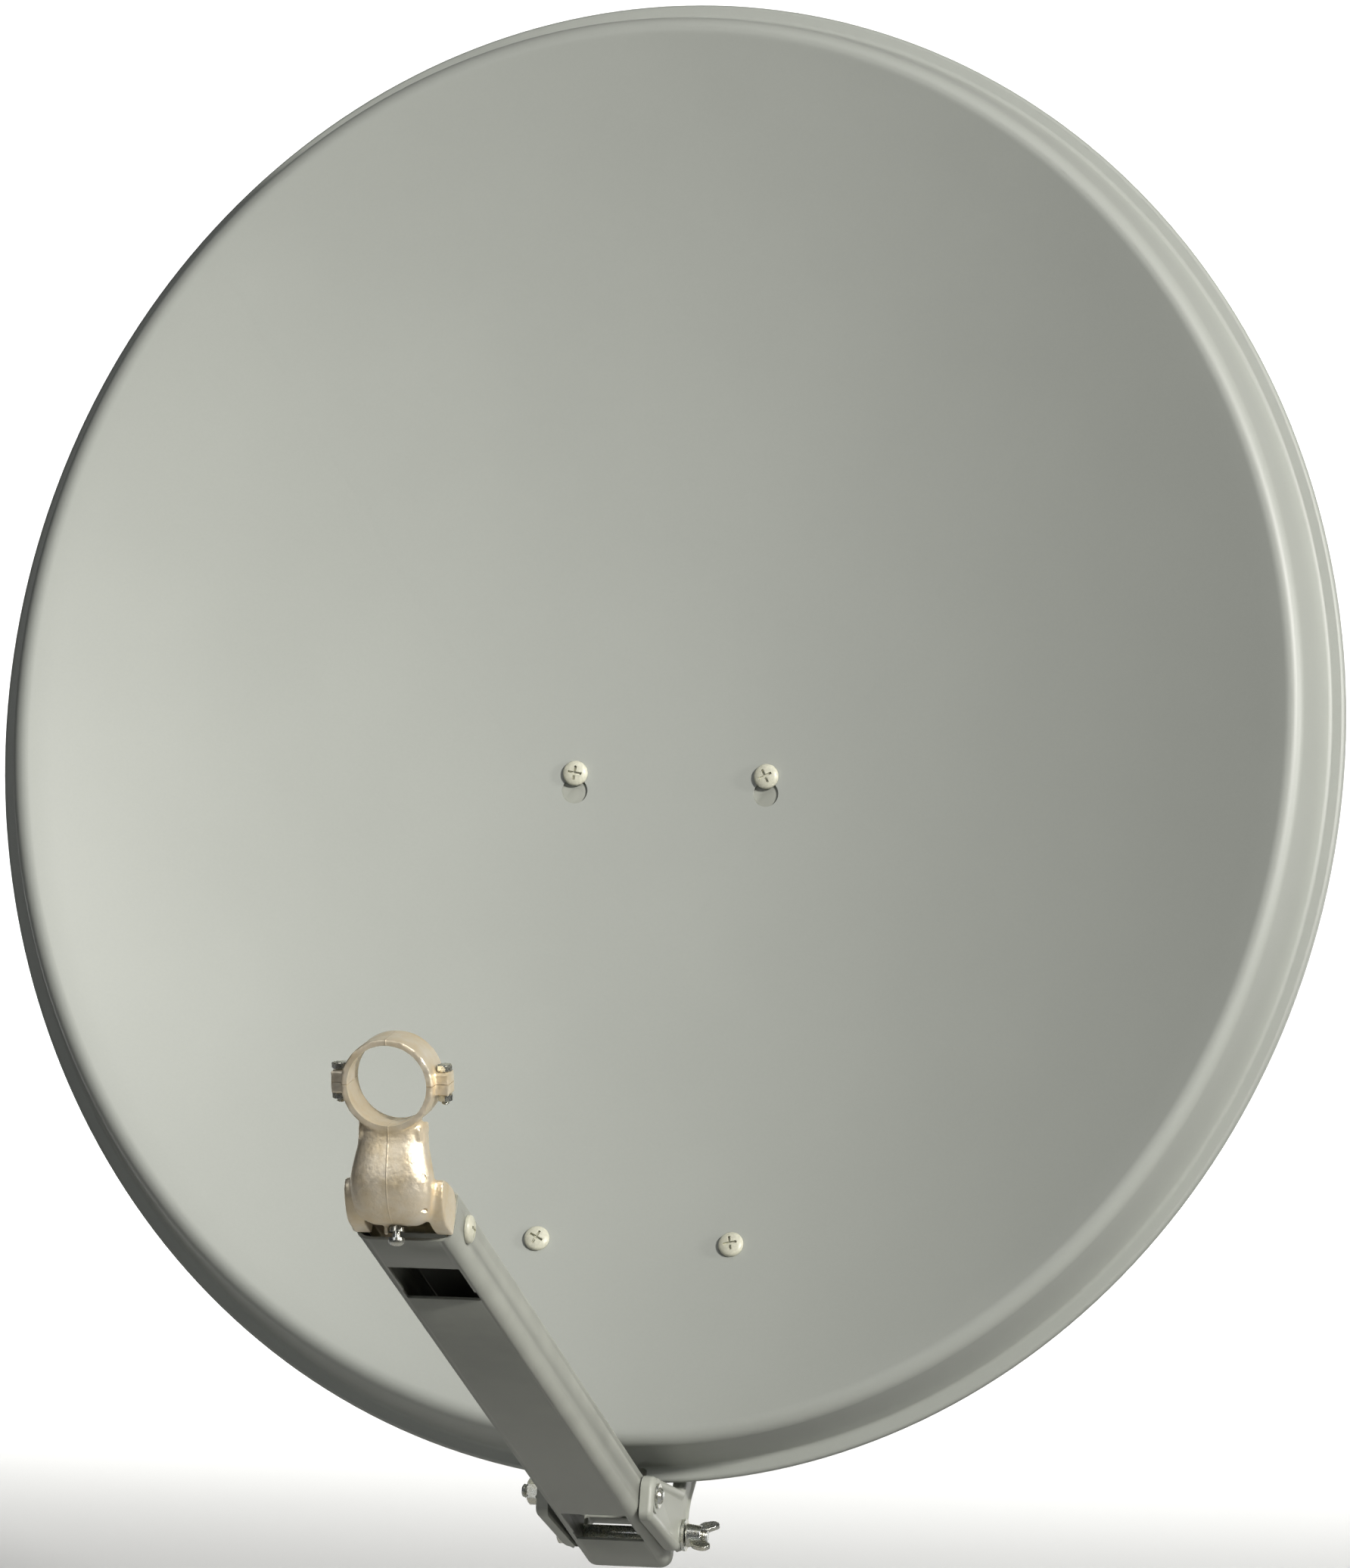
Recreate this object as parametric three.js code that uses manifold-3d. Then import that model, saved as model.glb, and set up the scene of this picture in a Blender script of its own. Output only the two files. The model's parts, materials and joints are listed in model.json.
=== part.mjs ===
// Offset satellite dish for a wall or roof mast: pressed aluminium reflector, pressed rear frame,
// elevation head with mast clamp, folding feed arm and a die-cast holder for a 40 mm LNB neck.
//
// Units are millimetres, +Z is up and the dish looks along -Y. The origin is on the mast axis, at the
// height of the elevation pivot. The reflector is drawn in its own frame: x across, y backwards from
// the plane of its shoulder, z up the face, and the whole dish leans back by REST_TILT.
import * as THREE from "three";
import { mergeVertices } from "three/addons/utils/BufferGeometryUtils.js";
import Module from "manifold-3d";

const wasm = await Module();
wasm.setup();

// ---------------------------------------------------------------- driving dimensions

const GAP = 0.3; // between pieces that touch
const BORE_CLEARANCE = 0.4; // of a hole over its bolt, on the radius

// Reflector
const DISH_WIDTH = 780; // over the rim
const OFFSET_ANGLE = THREE.MathUtils.degToRad(24.3); // between the rim plane's normal and the beam
const FOCAL_RATIO = 0.509; // focal length over the width
const SHEET = 1.2; // aluminium sheet
const SHOULDER_R = 8; // where the face rolls over into the wall
const RIM_DEPTH = 43; // from the shoulder back to the flange
const RIM_SPREAD = 7.6; // how far the wall flares
const RIM_FLANGE = 9.5;
const RIM_LIP = 7;
const FOLD_R = 2.4; // outer fold of the flange
const ROOT_R = 3; // inner corner between the wall and the flange
const REST_TILT = THREE.MathUtils.degToRad(12.5); // lean of the rim plane at rest

// Screws that hold the reflector
const SCREW_SPACING = 112;
const SCREW_TOP_Z = -20;
const SCREW_LOW_UP = 134.3; // lower screws above the rim's lowest edge
const SCREW_R = 3; // M6
const SCREW_HEAD_R = 7.2;
const SCREW_HEAD_H = 3.6;
const KEYHOLE_R = 7.4; // round part of the hanging slot under each upper screw
const KEYHOLE_DROP = 10;

// Drain slot in the flange
const DRAIN_R = 3;
const DRAIN_X = 10;
const DRAIN_SLOT = 3.4;

// Rear frame
const STEEL = 2.2; // pressed steel of the frame and the brackets
const PAD_R = 22; // flat feet under the screws
const PAD_T = 2.5;
const WING_TURN = -62; // degrees that the wing nut's wings stand off upright
const FRAME_STANDOFF = 14; // web behind the deepest part of the reflector
const FRAME_TOP = 22; // above the centre of the face
const FRAME_SHOULDER_DROP = 27; // where the frame starts to narrow, below the lower screws
const FRAME_NECK_DROP = 57; // where it has narrowed
const LIP_CLEARANCE = 4; // frame and bracket behind the rim's lip
const ACCESS_R = 13; // openings in the web behind the nuts

// Feed arm and its hinge
const ARM_WIDTH = 50;
const ARM_HEIGHT = 26;
const ARM_WALL = 1.5;
const ARM_EDGE_R = 8; // lower long edges
const ARM_TOP_R = 3;
const ARM_REACH = 466; // pivot to the open front end
const ARM_TAIL = 89; // pivot to the rear end
const ARM_RISE = THREE.MathUtils.degToRad(14.2); // over the rim plane's normal
const ARM_PIVOT_UP = 15; // pivot above the arm's underside
const ARM_BOLT_R = 4; // M8
const LOCK_BACK = 73.5; // lock bolt behind the pivot
const PIVOT_FRONT = 17; // pivot in front of the shoulder plane
const PIVOT_DROP = 9.7; // pivot below the rim
const WINDOW_LENGTH = 48;
const WINDOW_SIDE = 6.7; // from the window to the arm's side
const WINDOW_STEP = 0.9; // the last quarter of each window is wider by this on each side
const FRONT_WINDOW = 42; // from the front end
const REAR_WINDOW = -9; // front edge in front of the pivot (negative y is forwards)

// Arm bracket
const CHEEK_RIM = 7.2; // depth of the pressed cheek, across the dish
const CHEEK_GAP = 0.8; // arm to cheek
const CHEEK_NOSE_R = 11;
const RIM_CLEARANCE = 3; // cheek under the rim

// Holder
const NECK_BORE_R = 20; // for the 40 mm neck
const RING_WALL = 3.1;
const RING_LENGTH = 24;
const RING_TILT = THREE.MathUtils.degToRad(18); // bore axis, rising towards the dish
const RING_FORWARD = 42; // bore centre from the arm's front end
const RING_UP = 60;
const LUG_REACH = 6.6;
const LUG_T = 5.5;
const LUG_LENGTH = 12;
const CLAMP_SCREW_R = 2; // M4
const TONGUE_LENGTH = 45; // inside the arm
const TONGUE_WALL = 6.5;
const SIDE_SCREW_BACK = 24; // from the arm's front end
const FOOT_SCREW_BACK = -18; // screw under the boot, from the arm's front end
const FOOT_SCREW_SEAT = -9; // its seat, from the arm's pivot line
const FOOT_WASHER_T = 2.2;
const FOOT_NECK = 3.2; // bare neck between the washer and the domed head

// Elevation head and mast clamp
const MAST_R = 25;
const PIVOT_TO_MAST = 95;
const PIVOT_FACE_Z = -110; // along the face
const EAR_X = 28; // inner face of the frame's ears
const HEAD_PLATE = 2.5;
const LOCK_RADIUS = 42; // elevation lock bolts from the pivot
const SLOT_METAL = 8; // round the slots and holes of the head
const ELEVATION_UP = THREE.MathUtils.degToRad(13);
const ELEVATION_DOWN = THREE.MathUtils.degToRad(22);
const HEAD_BOLT_R = 4; // M8
const CLAMP_BOLT_X = 47;
const CLAMP_HALF_HEIGHT = 34;
const CLAMP_WING_X = 60;
const V_HALF_ANGLE = THREE.MathUtils.degToRad(65);
const V_PLATE = 3;
const V_TEETH = 4; // on each flank of a V
const TOOTH_DEPTH = 1;

// Fasteners: across flats, head and nut heights
const M4_FLATS = 7;
const M4_HEIGHT = 3.2;
const M6_FLATS = 10;
const M6_NUT = 5;
const M8_FLATS = 13;
const M8_HEAD = 5.3;
const M8_NUT = 6.5;
const WASHER_T = 1.6;
const WASHER_R = 9;
const THREAD_END = 9; // of a bolt beyond its nut's seat

// ---------------------------------------------------------------- materials

const finish = (color, roughness, metalness) =>
  new THREE.MeshStandardMaterial({ color, roughness, metalness });
const PAINT = finish(0xa3a59c, 0.45, 0.25);
const FRAME_PAINT = finish(0x94968e, 0.5, 0.25);
const ARM_PAINT = finish(0x8f918a, 0.45, 0.25);
const CAST = finish(0xd2c9b4, 0.3, 0.9);
const ZINC = finish(0xc9c9c4, 0.35, 0.85);
const CREAM = finish(0xcac9b8, 0.4, 0.3);

// ---------------------------------------------------------------- solids

// A closed BufferGeometry as a solid, with its shared corners merged.
function solid(geometry) {
  const bare = geometry.clone();
  bare.deleteAttribute("normal");
  bare.deleteAttribute("uv");
  const merged = mergeVertices(bare, 1e-4);
  return new wasm.Manifold(
    new wasm.Mesh({
      numProp: 3,
      vertProperties: merged.attributes.position.array,
      triVerts: new Uint32Array(merged.index.array),
    }),
  );
}

// A solid as a BufferGeometry for a mesh.
function geometryOf(shape) {
  const mesh = shape.getMesh();
  const geometry = new THREE.BufferGeometry();
  geometry.setAttribute("position", new THREE.BufferAttribute(mesh.vertProperties, 3));
  geometry.setIndex(new THREE.BufferAttribute(mesh.triVerts, 1));
  geometry.computeVertexNormals();
  return geometry;
}

const union = (parts) => parts.reduce((whole, part) => whole.add(part));
const cut = (whole, parts) => parts.reduce((left, part) => left.subtract(part), whole);

// A box between two corners, and the same turned or moved by a matrix.
function box(x0, x1, y0, y1, z0, z1, matrix) {
  const geometry = new THREE.BoxGeometry(x1 - x0, y1 - y0, z1 - z0);
  geometry.translate((x0 + x1) / 2, (y0 + y1) / 2, (z0 + z1) / 2);
  if (matrix) geometry.applyMatrix4(matrix);
  return solid(geometry);
}

// A round bar between two points.
function bar(radius, from, to, sides = 16) {
  const start = new THREE.Vector3(...from);
  const along = new THREE.Vector3(...to).sub(start);
  const geometry = new THREE.CylinderGeometry(radius, radius, along.length(), sides);
  geometry.translate(0, along.length() / 2, 0);
  const turn = new THREE.Quaternion().setFromUnitVectors(
    new THREE.Vector3(0, 1, 0),
    along.clone().normalize(),
  );
  geometry.applyQuaternion(turn);
  geometry.translate(start.x, start.y, start.z);
  return solid(geometry);
}

// A closed outline whose corners are rounded: each point is [u, v] or [u, v, radius].
function outline(points) {
  const shape = new THREE.Shape();
  const count = points.length;
  points.forEach(([u, v, radius = 0], i) => {
    const corner = new THREE.Vector2(u, v);
    const before = new THREE.Vector2(...points[(i + count - 1) % count]);
    const after = new THREE.Vector2(...points[(i + 1) % count]);
    const back = before.sub(corner);
    const ahead = after.sub(corner);
    const reach = Math.min(radius, back.length() * 0.48, ahead.length() * 0.48);
    const start = corner.clone().add(back.setLength(reach));
    const end = corner.clone().add(ahead.setLength(reach));
    if (i === 0) shape.moveTo(start.x, start.y);
    else shape.lineTo(start.x, start.y);
    if (reach > 0) shape.quadraticCurveTo(corner.x, corner.y, end.x, end.y);
  });
  shape.closePath();
  return shape;
}

// Extrusions of an outline: across x from a (y, z) outline, along y from an (x, z) outline,
// and along z from an (x, y) outline.
const ALONG_X = new THREE.Matrix4().makeBasis(
  new THREE.Vector3(0, 1, 0),
  new THREE.Vector3(0, 0, 1),
  new THREE.Vector3(1, 0, 0),
);
const ALONG_Y = new THREE.Matrix4().makeBasis(
  new THREE.Vector3(1, 0, 0),
  new THREE.Vector3(0, 0, 1),
  new THREE.Vector3(0, -1, 0),
);
function extruded(shape, depth, curveSegments = 4) {
  return new THREE.ExtrudeGeometry(shape, { depth, bevelEnabled: false, curveSegments, steps: 1 });
}
function acrossX(shape, x0, x1, curveSegments) {
  const geometry = extruded(shape, x1 - x0, curveSegments).applyMatrix4(ALONG_X);
  return solid(geometry.translate(x0, 0, 0));
}
function alongY(shape, y0, y1, curveSegments) {
  const geometry = extruded(shape, y1 - y0, curveSegments).applyMatrix4(ALONG_Y);
  return solid(geometry.translate(0, y1, 0));
}
function alongZ(shape, z0, z1, curveSegments) {
  return solid(extruded(shape, z1 - z0, curveSegments).translate(0, 0, z0));
}

// A closed skin over a stack of loops with the same number of points, with flat or pointed ends.
function skin(loops, pointed) {
  const count = loops[0].length;
  const position = loops.flat(2);
  const index = [];
  for (let i = 0; i + 1 < loops.length; i++) {
    for (let k = 0; k < count; k++) {
      const next = (k + 1) % count;
      const a = i * count + k;
      const b = i * count + next;
      const c = a + count;
      const d = b + count;
      index.push(a, b, c, b, d, c);
    }
  }
  for (const [loop, flip] of [[0, true], [loops.length - 1, false]]) {
    const centre = new THREE.Vector3();
    for (const point of loops[loop]) centre.add(new THREE.Vector3(...point));
    centre.divideScalar(count);
    const tip = pointed ? pointed[flip ? 0 : 1] : centre.toArray();
    const apex = position.length / 3;
    position.push(...tip);
    for (let k = 0; k < count; k++) {
      const a = loop * count + k;
      const b = loop * count + ((k + 1) % count);
      index.push(...(flip ? [b, a, apex] : [a, b, apex]));
    }
  }
  const geometry = new THREE.BufferGeometry();
  geometry.setAttribute("position", new THREE.Float32BufferAttribute(position, 3));
  geometry.setIndex(index);
  const closed = solid(geometry);
  if (closed.volume() > 0) return closed;
  geometry.setIndex(index.reverse()); // the loops ran the other way round
  return solid(geometry);
}

// ---------------------------------------------------------------- placing

const root = new THREE.Group();

function add(parent, name, shape, material) {
  const mesh = new THREE.Mesh(geometryOf(shape), material);
  mesh.name = name;
  parent.add(mesh);
  return mesh;
}

// A fastener drawn along +Z, placed with its seat at a point and its shank along a direction.
function fasten(parent, name, shape, material, point, direction) {
  const mesh = add(parent, name, shape, material);
  mesh.position.set(...point);
  mesh.quaternion.setFromUnitVectors(
    new THREE.Vector3(0, 0, 1),
    new THREE.Vector3(...direction).normalize(),
  );
  return mesh;
}

// ---------------------------------------------------------------- fasteners, seat at z = 0

const SIDES = 12;

function turned(profile, sides = SIDES) {
  const points = profile.map(([r, z]) => new THREE.Vector2(r, z));
  const geometry = new THREE.LatheGeometry(points, sides);
  return solid(geometry.rotateX(Math.PI / 2));
}

// Pan or dome head below the seat, shank above it.
function panScrew(shankR, length, headR, headH) {
  return turned([
    [0, -headH],
    [headR * 0.55, -headH * 0.93],
    [headR * 0.88, -headH * 0.6],
    [headR, -headH * 0.2],
    [headR, 0],
    [shankR, 0],
    [shankR, length],
    [0, length],
  ]);
}

function hexagon(acrossFlats, z0, z1) {
  const points = [];
  for (let i = 0; i < 6; i++) {
    const angle = (i * Math.PI) / 3 + Math.PI / 6;
    const radius = acrossFlats / 2 / Math.cos(Math.PI / 6);
    points.push([radius * Math.cos(angle), radius * Math.sin(angle)]);
  }
  return alongZ(outline(points), z0, z1);
}

function hexBolt(shankR, length, acrossFlats, headH) {
  const shank = turned([
    [0, -headH / 2],
    [shankR, -headH / 2],
    [shankR, length],
    [0, length],
  ]);
  return hexagon(acrossFlats, -headH, 0).add(shank);
}

const bore = (radius, z0, z1) =>
  turned([
    [0, z0],
    [radius, z0],
    [radius, z1],
    [0, z1],
  ]);

function hexNut(shankR, acrossFlats, height) {
  return hexagon(acrossFlats, 0, height).subtract(bore(shankR + GAP, -1, height + 1));
}

function washer(shankR, outerR, height) {
  return bore(outerR, 0, height).subtract(bore(shankR + GAP, -1, height + 1));
}

// Two wings on a round hub.
function wingNut(shankR) {
  const hubR = shankR + 3;
  const hubH = 9;
  const wing = [
    [hubR - 2.5, 2],
    [hubR + 8, 6, 2],
    [hubR + 11, 13, 3],
    [hubR + 6, 17, 3],
    [hubR - 2.5, hubH],
  ];
  const wings = [1, -1].map((side) => {
    const geometry = extruded(outline(wing), 2.6, 3).translate(0, 0, -1.3).rotateX(Math.PI / 2);
    if (side < 0) geometry.rotateZ(Math.PI);
    return solid(geometry.rotateZ(THREE.MathUtils.degToRad(WING_TURN)));
  });
  return union([bore(hubR, 0, hubH), ...wings]).subtract(bore(shankR + GAP, -1, hubH + 1));
}

// ---------------------------------------------------------------- reflector

// The face is cut from a paraboloid by the rim plane, so its edge is an ellipse.
const FACE_SLOPE = THREE.MathUtils.degToRad(24); // of the face where the shoulder begins
const SHOULDER_A = DISH_WIDTH / 2 - RIM_FLANGE - RIM_SPREAD;
const SHOULDER_RUN = SHOULDER_R * (1 + Math.sin(FACE_SLOPE));
const SHOULDER_DIP = SHOULDER_R * (1 - Math.cos(FACE_SLOPE));
const FACE_A = SHOULDER_A - SHOULDER_RUN + SHOULDER_DIP / Math.tan(FACE_SLOPE);
const FACE_B = FACE_A / Math.cos(OFFSET_ANGLE);
const SHOULDER_B = FACE_B + SHOULDER_A - FACE_A;
const RIM_BOTTOM = -(SHOULDER_B + RIM_SPREAD + RIM_FLANGE);
const FOCAL_LENGTH = DISH_WIDTH * FOCAL_RATIO;

// Depth of the face behind the shoulder plane.
function faceDepth(x, z) {
  const sin = Math.sin(OFFSET_ANGLE);
  const cos = Math.cos(OFFSET_ANGLE);
  const tan = Math.tan(OFFSET_ANGLE);
  const centre = 2 * FOCAL_LENGTH * tan;
  const rise = (FACE_A ** 2 + centre ** 2) / (4 * FOCAL_LENGTH);
  const across = centre + z * cos;
  const linear = -2 * across * sin - 4 * FOCAL_LENGTH * cos;
  const constant = x * x + across * across - 4 * FOCAL_LENGTH * (rise + z * sin);
  return -(-linear - Math.sqrt(linear * linear - 4 * sin * sin * constant)) / (2 * sin * sin);
}

// Unit normal of the face, towards the front.
function faceNormal(x, z) {
  const step = 0.5;
  const slopeX = (faceDepth(x + step, z) - faceDepth(x - step, z)) / (2 * step);
  const slopeZ = (faceDepth(x, z + step) - faceDepth(x, z - step)) / (2 * step);
  return new THREE.Vector3(slopeX, -1, slopeZ).normalize();
}

// The rim's section as [outwards from the shoulder, backwards, normal angle from outwards to front].
function rimSection() {
  const flare = Math.atan2(RIM_SPREAD, RIM_DEPTH - SHOULDER_R);
  const section = [];
  const arc = (centre, y, radius, from, to, steps) => {
    for (let i = 0; i <= steps; i++) {
      const angle = from + ((to - from) * i) / steps;
      section.push([centre + radius * Math.cos(angle), y - radius * Math.sin(angle), angle]);
    }
  };
  arc(-SHOULDER_R, SHOULDER_R, SHOULDER_R, Math.PI / 2 + FACE_SLOPE, flare, 4);
  const rootOut = RIM_SPREAD + ROOT_R;
  for (const angle of [flare, Math.PI / 2]) {
    section.push([
      rootOut - ROOT_R * Math.cos(angle),
      RIM_DEPTH - ROOT_R + ROOT_R * Math.sin(angle),
      angle,
    ]);
  }
  const foldOut = RIM_SPREAD + RIM_FLANGE - FOLD_R;
  arc(foldOut, RIM_DEPTH + FOLD_R, FOLD_R, Math.PI / 2, 0, 2);
  section.push([RIM_SPREAD + RIM_FLANGE, RIM_DEPTH + RIM_LIP, 0]);
  return section;
}

function reflectorShell() {
  const around = 48;
  const faceRings = 6;
  const ring = (a, b, depth) => {
    const points = [];
    for (let k = 0; k < around; k++) {
      const angle = (2 * Math.PI * k) / around;
      const x = a * Math.cos(angle);
      const z = b * Math.sin(angle);
      points.push([x, typeof depth === "function" ? depth(x, z) : depth, z]);
    }
    return points;
  };
  const front = [];
  const back = [];
  const inset = SHOULDER_RUN;
  for (let i = 1; i < faceRings; i++) {
    const share = i / faceRings;
    const a = (SHOULDER_A - inset) * share;
    const b = (SHOULDER_B - inset) * share;
    front.push(ring(a, b, faceDepth));
    back.push(ring(a, b, (x, z) => faceDepth(x, z) + SHEET));
  }
  for (const [out, y, angle] of rimSection()) {
    front.push(ring(SHOULDER_A + out, SHOULDER_B + out, y));
    const inner = out - SHEET * Math.cos(angle);
    back.push(ring(SHOULDER_A + inner, SHOULDER_B + inner, y + SHEET * Math.sin(angle)));
  }
  const tip = [0, faceDepth(0, 0), 0];
  const tail = [0, faceDepth(0, 0) + SHEET, 0];
  return skin([...front, ...back.reverse()], [tip, tail]);
}

const dish = new THREE.Group(); // the reflector's frame, leaning back
root.add(dish);

const SCREW_LOW_Z = RIM_BOTTOM + SCREW_LOW_UP;
const SCREWS = [
  ["upper_left", -SCREW_SPACING / 2, SCREW_TOP_Z],
  ["upper_right", SCREW_SPACING / 2, SCREW_TOP_Z],
  ["lower_left", -SCREW_SPACING / 2, SCREW_LOW_Z],
  ["lower_right", SCREW_SPACING / 2, SCREW_LOW_Z],
].map(([name, x, z]) => {
  const seat = new THREE.Vector3(x, faceDepth(x, z), z);
  return { name, x, z, seat, normal: faceNormal(x, z) };
});

// A point at a distance in front of a screw's seat, along its own axis.
const ahead = (screw, distance) =>
  screw.seat.clone().addScaledVector(screw.normal, distance).toArray();

function keyhole(screw) {
  const down = new THREE.Vector3(0, 0, -KEYHOLE_DROP);
  const low = screw.seat.clone().add(down);
  const through = (centre, radius) =>
    bar(
      radius,
      centre.clone().addScaledVector(screw.normal, 6).toArray(),
      centre.clone().addScaledVector(screw.normal, -6).toArray(),
    );
  const slotHalf = SCREW_R + BORE_CLEARANCE;
  const slot = box(
    screw.x - slotHalf,
    screw.x + slotHalf,
    low.y - 6,
    low.y + 6,
    screw.z - KEYHOLE_DROP,
    screw.z,
  );
  return union([through(low, KEYHOLE_R), through(screw.seat, slotHalf), slot]);
}

function makeReflector() {
  const holes = [];
  for (const screw of SCREWS) {
    if (screw.z === SCREW_TOP_Z) holes.push(keyhole(screw));
    else holes.push(bar(SCREW_R + BORE_CLEARANCE, ahead(screw, 6), ahead(screw, -6)));
    // flat seat under the head
    holes.push(bar(SCREW_HEAD_R + GAP, ahead(screw, 0), ahead(screw, 6)));
  }
  // drain: a slot along the flange that ends in a round hole
  const drainZ = RIM_BOTTOM + RIM_FLANGE / 2 + 0.6;
  const drainFront = RIM_DEPTH - 5;
  const drainBack = RIM_DEPTH + 5;
  holes.push(bar(DRAIN_R, [DRAIN_X, drainFront, drainZ], [DRAIN_X, drainBack, drainZ]));
  const slotLow = drainZ + 1 - DRAIN_SLOT / 2;
  holes.push(box(-DRAIN_X, DRAIN_X, drainFront, drainBack, slotLow, slotLow + DRAIN_SLOT));
  return cut(reflectorShell(), holes);
}
add(dish, "reflector", makeReflector(), PAINT);

// ---------------------------------------------------------------- rear frame

const FRAME_HALF = SCREW_SPACING / 2 + PAD_R; // half width, so each foot reaches its flange
const WEB_BACK = faceDepth(0, 0) + SHEET + FRAME_STANDOFF + STEEL;
const WEB_FRONT = WEB_BACK - STEEL;
const CHEEK_IN = ARM_WIDTH / 2 + CHEEK_GAP;
const CHEEK_OUT = CHEEK_IN + CHEEK_RIM;
const NECK_HALF = CHEEK_OUT + GAP + STEEL;
const FRAME_SHOULDER_Z = SCREW_LOW_Z - FRAME_SHOULDER_DROP;
const FRAME_NECK_Z = SCREW_LOW_Z - FRAME_NECK_DROP;
const NECK_BOTTOM = RIM_BOTTOM + 5; // hidden behind the rim
const LIP_BACK = RIM_DEPTH + RIM_LIP + LIP_CLEARANCE;
const BRACKET_BOLTS = [NECK_BOTTOM + 18, NECK_BOTTOM + 52];

// The head's cheek reaches this far in front of the pivot and above it, round the end of its slot,
// and the web has to clear it at the steepest lean.
const CHEEK_FRONT =
  LOCK_RADIUS * Math.sin(ELEVATION_DOWN) + HEAD_BOLT_R + BORE_CLEARANCE + SLOT_METAL;
const CHEEK_UP = LOCK_RADIUS + HEAD_BOLT_R + BORE_CLEARANCE + SLOT_METAL;
const STEEPEST = REST_TILT + ELEVATION_UP;
const PIVOT_Y = WEB_BACK + CHEEK_FRONT * Math.cos(STEEPEST) + CHEEK_UP * Math.sin(STEEPEST) + 3;

// The elevation pivot and lock bolt on the ears, in the dish's frame. The lock bolt is straight
// above the pivot when the dish is at rest.
const LOCK_Y = PIVOT_Y - LOCK_RADIUS * Math.sin(REST_TILT);
const LOCK_Z = PIVOT_FACE_Z + LOCK_RADIUS * Math.cos(REST_TILT);

function makeBackFrame() {
  const web = outline([
    [-FRAME_HALF, FRAME_TOP, 10],
    [-FRAME_HALF, FRAME_SHOULDER_Z, 10],
    [-NECK_HALF, FRAME_NECK_Z, 10],
    [-NECK_HALF, NECK_BOTTOM, 3],
    [NECK_HALF, NECK_BOTTOM, 3],
    [NECK_HALF, FRAME_NECK_Z, 10],
    [FRAME_HALF, FRAME_SHOULDER_Z, 10],
    [FRAME_HALF, FRAME_TOP, 10],
  ]);
  const parts = [alongY(web, WEB_FRONT, WEB_BACK)];
  const holes = [];
  // side flanges that follow the back of the reflector
  const steps = 8;
  const inner = FRAME_HALF - STEEL;
  const edge = [
    [WEB_BACK - 0.5, FRAME_TOP - 6],
    [WEB_BACK - 0.5, FRAME_SHOULDER_Z + 6],
  ];
  for (let i = 0; i <= steps; i++) {
    const z = FRAME_SHOULDER_Z + 6 + ((FRAME_TOP - FRAME_SHOULDER_Z - 12) * i) / steps;
    edge.push([faceDepth(inner, z) + SHEET + 1, z]);
  }
  for (const side of [-1, 1]) {
    const from = side < 0 ? -FRAME_HALF : inner;
    parts.push(acrossX(outline(edge), from, from + STEEL));
    const neck = side < 0 ? -NECK_HALF : NECK_HALF - STEEL;
    parts.push(box(neck, neck + STEEL, LIP_BACK, WEB_BACK - 0.5, NECK_BOTTOM + 1, FRAME_NECK_Z));
    // ears for the elevation head
    const ear = outline([
      [WEB_BACK - 1, PIVOT_FACE_Z - 22],
      [PIVOT_Y + 13, PIVOT_FACE_Z - 16, 14],
      [PIVOT_Y + 13, PIVOT_FACE_Z + 14, 10],
      [LOCK_Y + 14, LOCK_Z + 13, 12],
      [WEB_BACK - 1, LOCK_Z + 22],
    ]);
    const earX = side < 0 ? -EAR_X - STEEL : EAR_X;
    parts.push(acrossX(ear, earX, earX + STEEL));
  }
  for (const screw of SCREWS) {
    parts.push(bar(PAD_R, ahead(screw, -SHEET - GAP), ahead(screw, -SHEET - GAP - PAD_T)));
    holes.push(bar(SCREW_R + BORE_CLEARANCE, ahead(screw, 2), ahead(screw, -12)));
    const y = WEB_BACK + 1;
    holes.push(bar(ACCESS_R, [screw.x, WEB_FRONT - 1, screw.z], [screw.x, y, screw.z]));
  }
  const pinHole = (y, z) =>
    bar(HEAD_BOLT_R + BORE_CLEARANCE, [-EAR_X - STEEL - 1, y, z], [EAR_X + STEEL + 1, y, z]);
  holes.push(pinHole(PIVOT_Y, PIVOT_FACE_Z), pinHole(LOCK_Y, LOCK_Z));
  for (const z of BRACKET_BOLTS) {
    holes.push(bar(ARM_BOLT_R + BORE_CLEARANCE, [0, WEB_FRONT - 1, z], [0, WEB_BACK + 1, z]));
  }
  return cut(union(parts), holes);
}
add(dish, "back_frame", makeBackFrame(), FRAME_PAINT);

const FOOT_BACK = SHEET + GAP + PAD_T + GAP; // seat of the nut behind the reflector's face
for (const screw of SCREWS) {
  const inward = screw.normal.clone().negate().toArray();
  const shape = panScrew(SCREW_R, FOOT_BACK + 8, SCREW_HEAD_R, SCREW_HEAD_H);
  fasten(dish, "reflector_screw_" + screw.name, shape, CREAM, ahead(screw, GAP), inward);
  const nut = hexNut(SCREW_R, M6_FLATS, M6_NUT);
  fasten(dish, "reflector_nut_" + screw.name, nut, ZINC, ahead(screw, -FOOT_BACK), inward);
}

// ---------------------------------------------------------------- arm bracket

const ARM_PIVOT = [0, -PIVOT_FRONT, RIM_BOTTOM - PIVOT_DROP];
const armPoint = (along, up) => [
  // a (y, z) point in the dish's frame, from the pivot: forwards along the arm, and square to it
  ARM_PIVOT[1] - along * Math.cos(ARM_RISE) + up * Math.sin(ARM_RISE),
  ARM_PIVOT[2] + along * Math.sin(ARM_RISE) + up * Math.cos(ARM_RISE),
];

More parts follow.
